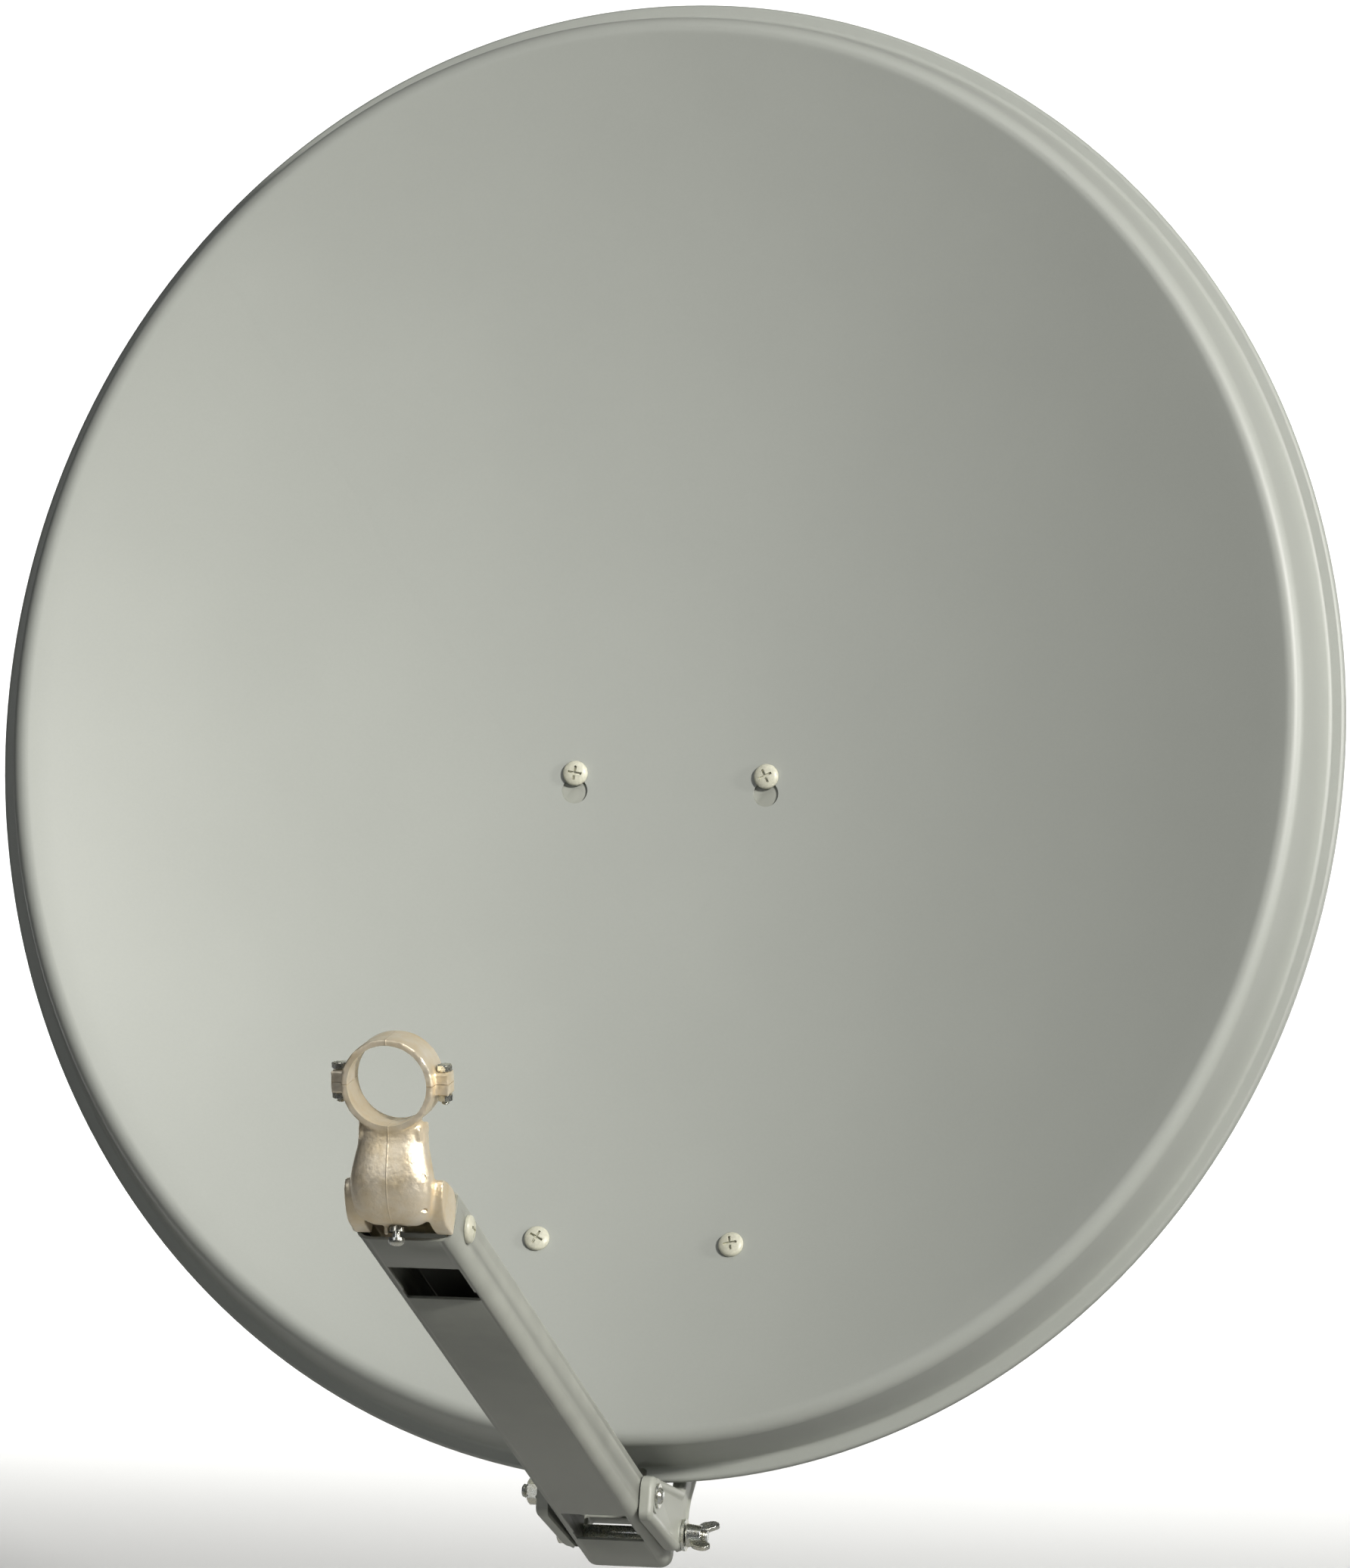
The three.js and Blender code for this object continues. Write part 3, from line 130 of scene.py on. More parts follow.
class ReflectorSizes(bpy.types.PropertyGroup):
    """The pressed reflector and how it stands."""

    width: size("Width", "Across the rim's outer edge", 0.7798)
    focal_length: size("Focal length", "Of the parent paraboloid", 0.780 * 0.509)
    offset: angle("Offset", "Between the rim plane's normal and the beam", 24.3)
    tilt: angle("Tilt", "Lean of the rim plane away from upright", 12.5)
    sheet: size("Sheet", "Thickness of the metal", 0.0012)
    shoulder: size("Shoulder radius", "Where the face rolls over into the wall", 0.008)
    slope: angle("Edge slope", "Of the face where the shoulder begins", 24.0)
    depth: size("Rim depth", "From the shoulder back to the flange", 0.043)
    spread: size("Rim spread", "How far the wall flares outwards", 0.0076)
    flange: size("Flange", "Width of the flange in front of the lip", 0.0095)
    lip: size("Lip", "Length of the turned-back lip", 0.007)
    around: IntProperty(name="Segments", description="Facets round the rim", default=256, min=32)
    rings: IntProperty(name="Rings", description="Rings of facets on the face", default=30, min=6)


class ArmSizes(bpy.types.PropertyGroup):
    """The hollow feed arm and its hinge."""

    width: size("Width", "Across the arm", 0.050)
    height: size("Height", "Square to the arm", 0.026)
    wall: size("Wall", "Thickness of the metal", 0.0015)
    edge: size("Lower edge radius", "Of the two lower long edges", 0.008)
    reach: size("Reach", "Hinge to the open front end", 0.466)
    tail: size("Tail", "Hinge to the rear end", 0.089)
    rise: angle("Rise", "Over the rim plane's normal", 14.2)
    window: size("Window length", "Of each opening in the underside", 0.048)


class HolderSizes(bpy.types.PropertyGroup):
    """The die-cast holder for the receiver's neck."""

    bore: size("Bore radius", "Of the split ring", 0.020)
    wall: size("Ring wall", "Thickness of the split ring", 0.0031)
    length: size("Ring length", "Along the bore", 0.024)
    tilt: angle("Ring tilt", "Of the bore, rising towards the dish", 18.0)
    grain: size("Casting grain", "Cell that rounds the cast corners", 0.0007)


class Finishes(bpy.types.PropertyGroup):
    """Colours of the finishes, as sRGB hex values."""

    reflector: colour("Reflector", "Baked grey paint on the reflector", "A2A59F")
    frame: colour("Frame", "Powder coat on the pressings behind", "A2A49B")
    arm: colour("Arm", "Powder coat on the feed arm", "9A9C94")
    screws: colour("Screws", "Cream enamel on the screw heads", "C9C8B6")
    casting: colour("Casting", "Bare die-cast aluminium", "FFF5E2")
    zinc: colour("Zinc", "Bright zinc plate", "DADAD4")
    floor: colour("Floor", "Floor and backdrop", "C9C9C7")


class StageSizes(bpy.types.PropertyGroup):
    """Camera and room."""

    distance: size("Camera distance", "From the point the camera looks at", 4.0038)
    lens: FloatProperty(
        name="Lens", description="Focal length in mm on a 36 mm sensor", default=190.2
    )
    floor: size("Floor height", "Below the elevation pivot", -0.62)
    ambient: FloatProperty(
        name="Ambient", description="Strength of the room's own light", default=0.04
    )


def settings():
    return bpy.context.scene


def mm(value):
    return value * 1000.0


# ---------------------------------------------------------------- meshes


def link(name, mesh):
    obj = bpy.data.objects.new(name, mesh)
    bpy.context.scene.collection.objects.link(obj)
    return obj


def mesh_of(name, points, faces, place):
    """A mesh object from points in mm and a matrix in mm, with outward normals."""
    mesh = bpy.data.meshes.new(name)
    mesh.from_pydata([(place @ Vector(p)) * 0.001 for p in points], [], faces)
    bm = bmesh.new()
    bm.from_mesh(mesh)
    bmesh.ops.remove_doubles(bm, verts=bm.verts, dist=1e-6)
    bmesh.ops.triangulate(bm, faces=[f for f in bm.faces if len(f.verts) > 4])
    bmesh.ops.recalc_face_normals(bm, faces=bm.faces)
    if bm.calc_volume(signed=True) < 0:
        bmesh.ops.reverse_faces(bm, faces=bm.faces)
    bm.to_mesh(mesh)
    bm.free()
    return link(name, mesh)


def skin(name, loops, place):
    """A closed skin over loops with the same number of points, with flat ends."""
    count = len(loops[0])
    points = [p for loop in loops for p in loop]
    faces = [tuple(range(count)), tuple(range((len(loops) - 1) * count, len(loops) * count))]
    for i in range(len(loops) - 1):
        for k in range(count):
            n = (k + 1) % count
            faces.append((i * count + k, i * count + n, (i + 1) * count + n, (i + 1) * count + k))
    return mesh_of(name, points, faces, place)


def rounded(corners, steps=6):
    """Points of a closed outline whose corners, each (u, v, radius), are rounded."""
    outline = []
    for i, (u, v, radius) in enumerate(corners):
        corner = Vector((u, v))
        back = Vector(corners[i - 1][:2]) - corner
        ahead = Vector(corners[(i + 1) % len(corners)][:2]) - corner
        reach = min(radius, back.length * 0.48, ahead.length * 0.48)
        start = corner + back.normalized() * reach
        end = corner + ahead.normalized() * reach
        for k in range(steps + 1):
            t = k / steps
            outline.append(start * (1 - t) ** 2 + corner * 2 * t * (1 - t) + end * t * t)
    return outline


def inset(corners, distance):
    """The corners of an outline moved inwards, with their radii changed to match."""
    area = sum(
        a[0] * b[1] - b[0] * a[1] for a, b in zip(corners, corners[1:] + corners[:1])
    )
    side = 1 if area > 0 else -1
    moved = []
    for i, (u, v, radius) in enumerate(corners):
        corner = Vector((u, v))
        into = (corner - Vector(corners[i - 1][:2])).normalized()
        out = (Vector(corners[(i + 1) % len(corners)][:2]) - corner).normalized()
        turn = into.cross(out) * side
        bisector = Vector((-into.y - out.y, into.x + out.x)) * side
        scale = distance / max(0.2, bisector.normalized().dot(Vector((-into.y, into.x)) * side))
        spot = corner + bisector.normalized() * scale
        reach = max(radius - distance * 0.8, 0.3) if turn > 0 else radius + distance * 0.8
        moved.append((spot.x, spot.y, reach))
    return moved


def prism(name, corners, across, low, high, place, steps=6):
    """An outline carried along an axis: it is (y, z) along x, (x, z) along y and (x, y) along z."""
    spots = {
        "x": lambda p, t: (t, p.x, p.y),
        "y": lambda p, t: (p.x, t, p.y),
        "z": lambda p, t: (p.x, p.y, t),
    }[across]
    outline = rounded(corners, steps)
    return skin(name, [[spots(p, t) for p in outline] for t in (low, high)], place)


def block(name, low, high, place):
    ends = ((low[0], low[1]), (high[0], low[1]), (high[0], high[1]), (low[0], high[1]))
    corners = [(u, v, 0) for u, v in ends]
    return prism(name, corners, "z", low[2], high[2], place, steps=1)


def rod(name, start, end, radius, place, sides=48, far_radius=None):
    """A round bar between two points, or a cone frustum."""
    a, b = Vector(start), Vector(end)
    turn = (b - a).to_track_quat("Z", "Y").to_matrix()
    loops = []
    for spot, r in ((a, radius), (b, radius if far_radius is None else far_radius)):
        ring = [2 * math.pi * k / sides for k in range(sides)]
        loops.append([spot + turn @ Vector((r * math.cos(t), r * math.sin(t), 0)) for t in ring])
    return skin(name, loops, place)


def plain(obj):
    """Turns an object and its modifiers into one plain mesh."""
    graph = bpy.context.evaluated_depsgraph_get()
    mesh = bpy.data.meshes.new_from_object(obj.evaluated_get(graph))
    old = obj.data
    obj.modifiers.clear()
    obj.data = mesh
    bpy.data.meshes.remove(old)
    return obj


def shaped(obj, tools, operation="DIFFERENCE", solver="EXACT"):
    """Cuts tools from an object or adds them to it, one at a time, and removes them."""
    for tool in tools:
        modifier = obj.modifiers.new("shape", "BOOLEAN")
        modifier.operation = operation
        modifier.solver = solver
        modifier.object = tool
        plain(obj)
        bpy.data.objects.remove(tool)
    return obj


def tidy(obj, width=0.0, degrees=35.0, segments=2):
    """Merges doubles, rounds the sharp edges by a width in mm, and smooths the rest."""
    bm = bmesh.new()
    bm.from_mesh(obj.data)
    bmesh.ops.remove_doubles(bm, verts=bm.verts, dist=2e-6)
    bmesh.ops.dissolve_degenerate(bm, edges=bm.edges, dist=1e-6)
    if width:
        bmesh.ops.dissolve_limit(
            bm, angle_limit=math.radians(0.6), verts=bm.verts, edges=bm.edges
        )
    bm.to_mesh(obj.data)
    bm.free()
    if width:
        bevel = obj.modifiers.new("edges", "BEVEL")
        bevel.width = width * 0.001
        bevel.segments = segments
        bevel.limit_method = "ANGLE"
        bevel.angle_limit = math.radians(degrees)
        bevel.harden_normals = True
        obj.data.shade_smooth()
        plain(obj)
    obj.data.shade_smooth()
    obj.data.set_sharp_from_angle(angle=math.radians(degrees))
    return obj


def place_piece(obj, body, slot, material, *nodes):
    """Gives a piece its material and its body, and hides the frame nodes it stands for."""
    obj.data.materials.clear()
    obj.data.materials.append(material)
    for face in obj.data.polygons:
        face.material_index = 0
    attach(obj, body)
    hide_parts(*nodes)
    return obj


# ---------------------------------------------------------------- nodes


def feed(node, values):
    """Sets or links a node's inputs, by name or number. A node is linked by its first output."""
    for key, value in values.items():
        for item in value if isinstance(value, list) else [value]:
            if isinstance(item, bpy.types.Node):
                item = item.outputs[0]
            if isinstance(item, bpy.types.NodeSocket):
                node.id_data.links.new(item, node.inputs[key])
            else:
                node.inputs[key].default_value = item


def add(tree, kind, *values, **props):
    """Adds a node with its properties, and its inputs in their order or as one dict.

    A kind in capitals is a maths node's operation.
    """
    if kind.isupper():
        kind, props["operation"] = "ShaderNodeMath", kind
    node = tree.nodes.new(kind)
    node.location = (190 * (len(tree.nodes) % 12), -220 * (len(tree.nodes) // 12))
    for key, value in props.items():
        setattr(node, key, value)
    named = values and isinstance(values[0], dict)
    feed(node, values[0] if named else dict(enumerate(values)))
    return node


def new_tree(name, inputs):
    """A geometry tree with named inputs, each (name, socket kind, value)."""
    tree = bpy.data.node_groups.new(name, "GeometryNodeTree")
    tree.interface.new_socket("Geometry", in_out="OUTPUT", socket_type="NodeSocketGeometry")
    tree.interface.new_socket("Geometry", in_out="INPUT", socket_type="NodeSocketGeometry")
    for label, kind, value in inputs:
        socket = tree.interface.new_socket(label, in_out="INPUT", socket_type=kind)
        if value is not None:
            socket.default_value = value
    start = tree.nodes.new("NodeGroupInput")
    return tree, start.outputs


def finish_tree(tree, geometry, material):
    """Ends a tree in Realize Instances and Set Material."""
    real = add(tree, "GeometryNodeRealizeInstances", {0: geometry})
    painted = add(tree, "GeometryNodeSetMaterial", {"Geometry": real, "Material": material})
    add(tree, "NodeGroupOutput", painted)
    return tree


def run_tree(obj, tree, values):
    """Runs a tree on an object with its inputs set, and leaves one plain mesh."""
    modifier = obj.modifiers.new(tree.name, "NODES")
    modifier.node_group = tree
    for item in tree.interface.items_tree:
        if item.in_out == "INPUT" and item.name in values:
            modifier[item.identifier] = values[item.name]
    return plain(obj)


# ---------------------------------------------------------------- reflector


def reflector_shape():
    """Sizes in mm that follow from the reflector's own: ellipses, seats and frames."""
    sizes = settings().dish_reflector
    shape = {}
    radius, slope = mm(sizes.shoulder), sizes.slope
    shape["edge"] = mm(sizes.spread + sizes.flange)
    shape["a"] = mm(sizes.width) / 2 - shape["edge"]
    shape["run"] = radius * (1 + math.sin(slope))
    dip = radius * (1 - math.cos(slope))
    shape["face_a"] = shape["a"] - shape["run"] + dip / math.tan(slope)
    shape["b"] = shape["face_a"] / math.cos(sizes.offset) + shape["a"] - shape["face_a"]
    shape["bottom"] = -(shape["b"] + shape["edge"])
    return shape


def face_depth(x, z):
    """Depth of the paraboloid behind the rim plane, in mm."""
    sizes = settings().dish_reflector
    focal, offset = mm(sizes.focal_length), sizes.offset
    sin, cos = math.sin(offset), math.cos(offset)
    centre = 2 * focal * math.tan(offset)
    rise = (reflector_shape()["face_a"] ** 2 + centre**2) / (4 * focal)
    up = centre + z * cos
    linear = -2 * up * sin - 4 * focal * cos
    constant = x * x + up * up - 4 * focal * (rise + z * sin)
    return (linear + math.sqrt(linear * linear - 4 * sin * sin * constant)) / (2 * sin * sin)


def face_normal(x, z):
    """Unit normal of the face, towards the front."""
    h = 0.5
    slope_x = (face_depth(x + h, z) - face_depth(x - h, z)) / (2 * h)
    slope_z = (face_depth(x, z + h) - face_depth(x, z - h)) / (2 * h)
    return Vector((slope_x, -1, slope_z)).normalized()


def rim_section():
    """The rim's section: (outwards from the shoulder, backwards, angle of its normal)."""
    sizes = settings().dish_reflector
    radius, spread, flange = mm(sizes.shoulder), mm(sizes.spread), mm(sizes.flange)
    depth, lip = mm(sizes.depth), mm(sizes.lip)
    fold, root = 2.4, 3.0
    flare = math.atan2(spread, depth - radius)
    section = []

    def arc(centre, back, r, start, end, steps):
        for i in range(steps + 1):
            t = start + (end - start) * i / steps
            section.append((centre + r * math.cos(t), back - r * math.sin(t), t))

    arc(-radius, radius, radius, math.pi / 2 + sizes.slope, flare, 9)
    for share in (0.2, 0.4, 0.6, 0.8):
        section.append((spread * share, radius + (depth - radius) * share, flare))
    steps = 5
    for i in range(steps + 1):
        t = flare + (math.pi / 2 - flare) * i / steps
        section.append((spread + root - root * math.cos(t), depth - root + root * math.sin(t), t))
    arc(spread + flange - fold, depth + fold, fold, math.pi / 2, 0, 6)
    section.append((spread + flange, depth + lip, 0))
    return section


def reflector_tree():
    """A paraboloid cut by the rim plane, edged by a rim section and thickened to a closed shell.

    The modifier's own mesh is the section: each point carries how far it is out from the shoulder,
    how far back, its share of the face and whether it lies on the face.
    """
    tree, given = new_tree(
        "Offset reflector",
        [
            ("Segments", "NodeSocketInt", 256),
            ("Half width", "NodeSocketFloat", 0.3729),
            ("Half height", "NodeSocketFloat", 0.4082),
            ("Face inset", "NodeSocketFloat", 0.0112),
            ("Face half width", "NodeSocketFloat", 0.3632),
            ("Focal length", "NodeSocketFloat", 0.397),
            ("Offset", "NodeSocketFloat", 0.424),
            ("Material", "NodeSocketMaterial", None),
        ],
    )
    count = add(tree, "GeometryNodeAttributeDomainSize", {0: given["Geometry"]})
    grid = add(
        tree,
        "GeometryNodeMeshGrid",
        {
            "Size X": 1.0,
            "Size Y": 1.0,
            "Vertices X": add(tree, "ADD", given["Segments"], 1.0),
            "Vertices Y": count,
        },
    )
    spot = add(tree, "ShaderNodeSeparateXYZ", add(tree, "GeometryNodeInputPosition")).outputs
    turn = add(tree, "MULTIPLY", add(tree, "ADD", spot[0], 0.5), 2 * math.pi)
    last = add(tree, "SUBTRACT", count, 1.0)
    index = add(tree, "ROUND", add(tree, "MULTIPLY", add(tree, "ADD", spot[1], 0.5), last))
    read = {}
    for label in ("out", "back", "share", "on_face"):
        field = add(tree, "GeometryNodeInputNamedAttribute", {"Name": label}, data_type="FLOAT")
        read[label] = add(
            tree,
            "GeometryNodeSampleIndex",
            {0: given["Geometry"], 1: field, "Index": index},
            data_type="FLOAT",
            domain="POINT",
        )

    def semi(half):
        """Half width or height of the ellipse on which a point lies."""
        inner = add(
            tree, "MULTIPLY", add(tree, "SUBTRACT", half, given["Face inset"]), read["share"]
        )
        outer = add(tree, "ADD", half, read["out"])
        ends = {0: read["on_face"], 2: outer, 3: inner}
        return add(tree, "ShaderNodeMix", ends, data_type="FLOAT")

    x = add(tree, "MULTIPLY", semi(given["Half width"]), add(tree, "COSINE", turn))
    z = add(tree, "MULTIPLY", semi(given["Half height"]), add(tree, "SINE", turn))
    sin = add(tree, "SINE", given["Offset"])
    cos = add(tree, "COSINE", given["Offset"])
    four = add(tree, "MULTIPLY", given["Focal length"], 4.0)
    centre = add(
        tree, "MULTIPLY", add(tree, "MULTIPLY", four, 0.5), add(tree, "TANGENT", given["Offset"])
    )
    squares = add(
        tree,
        "ADD",
        add(tree, "POWER", given["Face half width"], 2.0),
        add(tree, "POWER", centre, 2.0),
    )
    rise = add(tree, "DIVIDE", squares, four)
    up = add(tree, "MULTIPLY_ADD", z, cos, centre)
    linear = add(
        tree,
        "SUBTRACT",
        add(tree, "MULTIPLY", add(tree, "MULTIPLY", up, sin), -2.0),
        add(tree, "MULTIPLY", four, cos),
    )
    level = add(tree, "MULTIPLY", four, add(tree, "MULTIPLY_ADD", z, sin, rise))
    constant = add(
        tree,
        "SUBTRACT",
        add(tree, "ADD", add(tree, "MULTIPLY", x, x), add(tree, "MULTIPLY", up, up)),
        level,
    )
    sin2 = add(tree, "MULTIPLY", sin, sin)
    inside = add(
        tree,
        "SUBTRACT",
        add(tree, "MULTIPLY", linear, linear),
        add(tree, "MULTIPLY", add(tree, "MULTIPLY", sin2, constant), 4.0),
    )
    depth = add(
        tree,
        "DIVIDE",
        add(tree, "ADD", linear, add(tree, "SQRT", inside)),
        add(tree, "MULTIPLY", sin2, 2.0),
    )
    y = add(tree, "MULTIPLY_ADD", depth, read["on_face"], read["back"])
    place = add(tree, "ShaderNodeCombineXYZ", {0: x, 1: y, 2: z})
    shell = add(tree, "GeometryNodeSetPosition", {"Geometry": grid, "Position": place})
    whole = add(tree, "GeometryNodeMergeByDistance", {"Geometry": shell, "Distance": 2e-6})
    return finish_tree(tree, whole, given["Material"])


def seats():
    """The four screws through the face, as (x, z) in mm: two upper, two lower."""
    low = reflector_shape()["bottom"] + FACE_SCREW_LOW
    return [(side * FACE_SCREW_SIDE, z) for z in (FACE_SCREW_HIGH, low) for side in (-1, 1)]


def ahead(x, z, distance):
    """A point in front of the face at (x, z), along its normal."""
    return Vector((x, face_depth(x, z), z)) + face_normal(x, z) * distance


def frames():
    """The mast's, reflector's, arm's, holder's and ring's frames, as matrices in mm."""
    scene = settings()
    pivot = next(j["pos_m"] for j in frame["joints"] if j["name"] == "arm_fold")
    dish_turn = Matrix.Rotation(-scene.dish_reflector.tilt, 4, "X")
    dish = Matrix.Translation(Vector(pivot) * 1000) @ dish_turn
    arm = dish @ Matrix.Rotation(-scene.dish_arm.rise, 4, "X")
    dish = dish @ Matrix.Translation(-arm_pivot())
    holder = arm @ Matrix.Translation((0, -mm(scene.dish_arm.reach), 0))
    holder = holder @ Matrix.Rotation(scene.dish_arm.rise, 4, "X")
    ring = holder @ Matrix.Translation(RING_SPOT)
    ring = ring @ Matrix.Rotation(scene.dish_holder.tilt, 4, "X")
    return {"mast": Matrix.Identity(4), "dish": dish, "arm": arm, "holder": holder, "ring": ring}


def arm_pivot():
    """The arm's pivot in the reflector's frame, in mm."""
    return Vector((0, -17, reflector_shape()["bottom"] - 9.7))


class DISH_OT_reflector(bpy.types.Operator):
    """Build the pressed reflector with its screw holes, hanging slots and drain slot"""

    bl_idname = "dish.reflector"
    bl_label = "Reflector"

    def execute(self, context):
        sizes = context.scene.dish_reflector
        shape = reflector_shape()
        rings, sheet = sizes.rings, mm(sizes.sheet)
        front = [(0, 0, i / rings, 1) for i in range(rings)]
        back = [(0, sheet, i / rings, 1) for i in range(rings)]
        for out, depth, turn in rim_section():
            front.append((out, depth, 0, 0))
            back.append((out - sheet * math.cos(turn), depth + sheet * math.sin(turn), 0, 0))
        section = front + back[::-1]
        mesh = bpy.data.meshes.new("reflector")
        mesh.from_pydata([(i * 0.001, 0, 0) for i in range(len(section))], [], [])
        labels = {"out": 0.001, "back": 0.001, "share": 1.0, "on_face": 1.0}
        for column, (label, scale) in enumerate(labels.items()):
            layer = mesh.attributes.new(label, "FLOAT", "POINT")
            layer.data.foreach_set("value", [row[column] * scale for row in section])
        obj = link("reflector", mesh)
        paint = baked_paint()
        run_tree(
            obj,
            reflector_tree(),
            {
                "Segments": sizes.around,
                "Half width": shape["a"] * 0.001,
                "Half height": shape["b"] * 0.001,
                "Face inset": shape["run"] * 0.001,
                "Face half width": shape["face_a"] * 0.001,
                "Focal length": sizes.focal_length,
                "Offset": sizes.offset,
                "Material": paint,
            },
        )
        place = frames()["dish"]
        to_metres = Matrix.Scale(0.001, 4) @ place @ Matrix.Scale(1000, 4)
        obj.data.transform(to_metres)
        bm = bmesh.new()
        bm.from_mesh(obj.data)
        bmesh.ops.remove_doubles(bm, verts=bm.verts, dist=2e-6)
        bmesh.ops.recalc_face_normals(bm, faces=bm.faces)
        if bm.calc_volume(signed=True) < 0:
            bmesh.ops.reverse_faces(bm, faces=bm.faces)
        bm.to_mesh(obj.data)
        bm.free()
        cutters = []
        for number, (x, z) in enumerate(seats()):
            hole = M6 + CLEARANCE
            cutters.append(rod("hole", ahead(x, z, 6), ahead(x, z, -6), hole, place))
            if number < 2:
                low = ahead(x, z, 0) - Vector((0, 0, KEYHOLE_DROP))
                normal = face_normal(x, z) * 6
                cutters.append(rod("keyhole", low + normal, low - normal, KEYHOLE, place))
                start, end = (x - hole, low.y - 6, z - KEYHOLE_DROP), (x + hole, low.y + 6, z)
                cutters.append(block("slot", start, end, place))
            cutters.append(rod("seat", ahead(x, z, 0), ahead(x, z, 6), 7.5, place))
        depth = mm(sizes.depth)
        drain = shape["bottom"] + mm(sizes.flange) / 2 + 0.6
        cutters.append(rod("drain", (10, depth - 5, drain), (10, depth + 5, drain), 3, place))
        cutters.append(
            block("drain_slot", (-10, depth - 5, drain - 0.7), (10, depth + 5, drain + 2.7), place)
        )
        shaped(obj, cutters)
        tidy(obj)
        place_piece(obj, "dish", "reflector_paint", paint, "reflector")
        return {"FINISHED"}


# ---------------------------------------------------------------- pressings behind the reflector


def bevelled_copy(node, name, width):
    """A copy of a frame node, its edges rounded by a width in mm."""
    obj = link(name, frame["nodes"][node].data.copy())
    return tidy(obj, width, 32)


class DISH_OT_pressings(bpy.types.Operator):
    """Build the rear frame and the two halves of the mast clamp"""

    bl_idname = "dish.pressings"
    bl_label = "Rear frame and mast clamp"

    def execute(self, context):
        coat = powder_coat("powder_coat_frame", context.scene.dish_finishes.frame)
        bodies = {"back_frame": "dish", "mast_head": "mast_clamp", "mast_jaw": "jaw"}
        for node, body in bodies.items():
            obj = bevelled_copy(node, node + "_pressing", 0.45)
            place_piece(obj, body, "frame_paint", coat, node)
        return {"FINISHED"}


# ---------------------------------------------------------------- arm and its bracket


def arm_point(along, up):
    """A (y, z) point in the reflector's frame from one along the arm and square to it."""
    rise = settings().dish_arm.rise
    pivot = arm_pivot()
    return (
        pivot.y - along * math.cos(rise) + up * math.sin(rise),
        pivot.z + along * math.sin(rise) + up * math.cos(rise),
    )


def web_back():
    """Rear face of the frame's web, in mm behind the rim plane."""
    return face_depth(0, 0) + mm(settings().dish_reflector.sheet) + STANDOFF + SHEET_STEEL


class DISH_OT_bracket(bpy.types.Operator):
    """Build the pressed bracket whose two rimmed cheeks hold the feed arm"""

    bl_idname = "dish.bracket"
    bl_label = "Arm bracket"

    def execute(self, context):
        place = frames()["dish"]
        inner = mm(context.scene.dish_arm.width) / 2 + ARM_PLAY
        outer = inner + CHEEK
        bottom = reflector_shape()["bottom"]
        web_low = bottom + WEB_FOOT
        back = web_back() - SHEET_STEEL - GAP
        low, high = web_low + 2, bottom + FACE_SCREW_LOW - NECK_DROP - 2
        cheek = self.cheek(bottom, back, low, high)
        fold = 3.0  # radius of the cheek's outer rim
        # each (across the dish, distance in from the cheek's edge): the rim, then the sunk middle
        outside = [(inner, 0.0)]
        for k in range(7):
            t = math.radians(15 * k)
            outside.append((outer - fold + fold * math.sin(t), fold * (1 - math.cos(t))))
        outside += [(outer - 0.25, 4.2), (outer - 0.95, 5.2), (outer - 1.2, 6.4)]
        within = outer - SHEET_STEEL
        inside = [(within - 1.0, 6.4), (within - 0.4, 4.2), (inner + 4.6, SHEET_STEEL)]
        inside += [(inner, SHEET_STEEL)]
        halves, bosses = [], []
        for side in (-1, 1):
            loops = [
                [(side * x, p.x, p.y) for p in rounded(inset(cheek, distance), 8)]
                for x, distance in outside[::-1] + inside[::-1]
            ]
            halves.append(skin("cheek", loops, place))
            for along, radius in ((0, 9.5), (-ARM_LOCK, 8.5)):
                y, z = arm_point(along, 0)
                start, end = (side * (within - 1.0), y, z), (side * outer, y, z)
                bosses.append(
                    rod("boss", start, end, radius + 1.2, place, 64, far_radius=radius)
                )
        web = block("web", (-outer, back - SHEET_STEEL, low), (outer, back, high), place)
        obj = shaped(halves[0], [halves[1], *bosses, web], "UNION", "MANIFOLD")
        cutters = []
        for z in (web_low + rise for rise in WEB_BOLTS):
            start, end = (0, back - 4, z), (0, back + 1, z)
            cutters.append(rod("hole", start, end, M8 + CLEARANCE, place))
        for along in (0, -ARM_LOCK):
            y, z = arm_point(along, 0)
            cutters.append(rod("hole", (-40, y, z), (40, y, z), M8 + CLEARANCE, place))
        shaped(obj, cutters, solver="MANIFOLD")
        obj.name = "arm_bracket_pressing"
        tidy(obj, 0.0, 28)
        coat = powder_coat("powder_coat_frame", context.scene.dish_finishes.frame)
        place_piece(obj, "dish", "frame_paint", coat, "arm_bracket")
        return {"FINISHED"}

    def cheek(self, bottom, back, low, high):
        """A cheek's corners: down the web, under the arm, round its pivot, back along the lip."""
        sizes = settings().dish_reflector
        under_rim, behind_lip = bottom - RIM_ROOM, mm(sizes.depth + sizes.lip) + LIP_ROOM
        front, rear = arm_point(6, -16), arm_point(-65.5, -12)
        tail = arm_point(-84.5, 0)[0]
        pivot = arm_pivot()
        return [
            (back, high, 4),
            (back, low, 5),
            (tail + 6, under_rim - 8, 7),
            (tail, rear[1] + 2, 7),
            (rear[0], rear[1], 8),
            (front[0], front[1], 12),
            (pivot.y - 13, pivot.z - 11, 9),
            (pivot.y - 11, pivot.z + 11, 9),
            (behind_lip, under_rim, 5),
            (behind_lip + 2, low + 10, 5),
            (behind_lip + 6, high, 4),
        ]


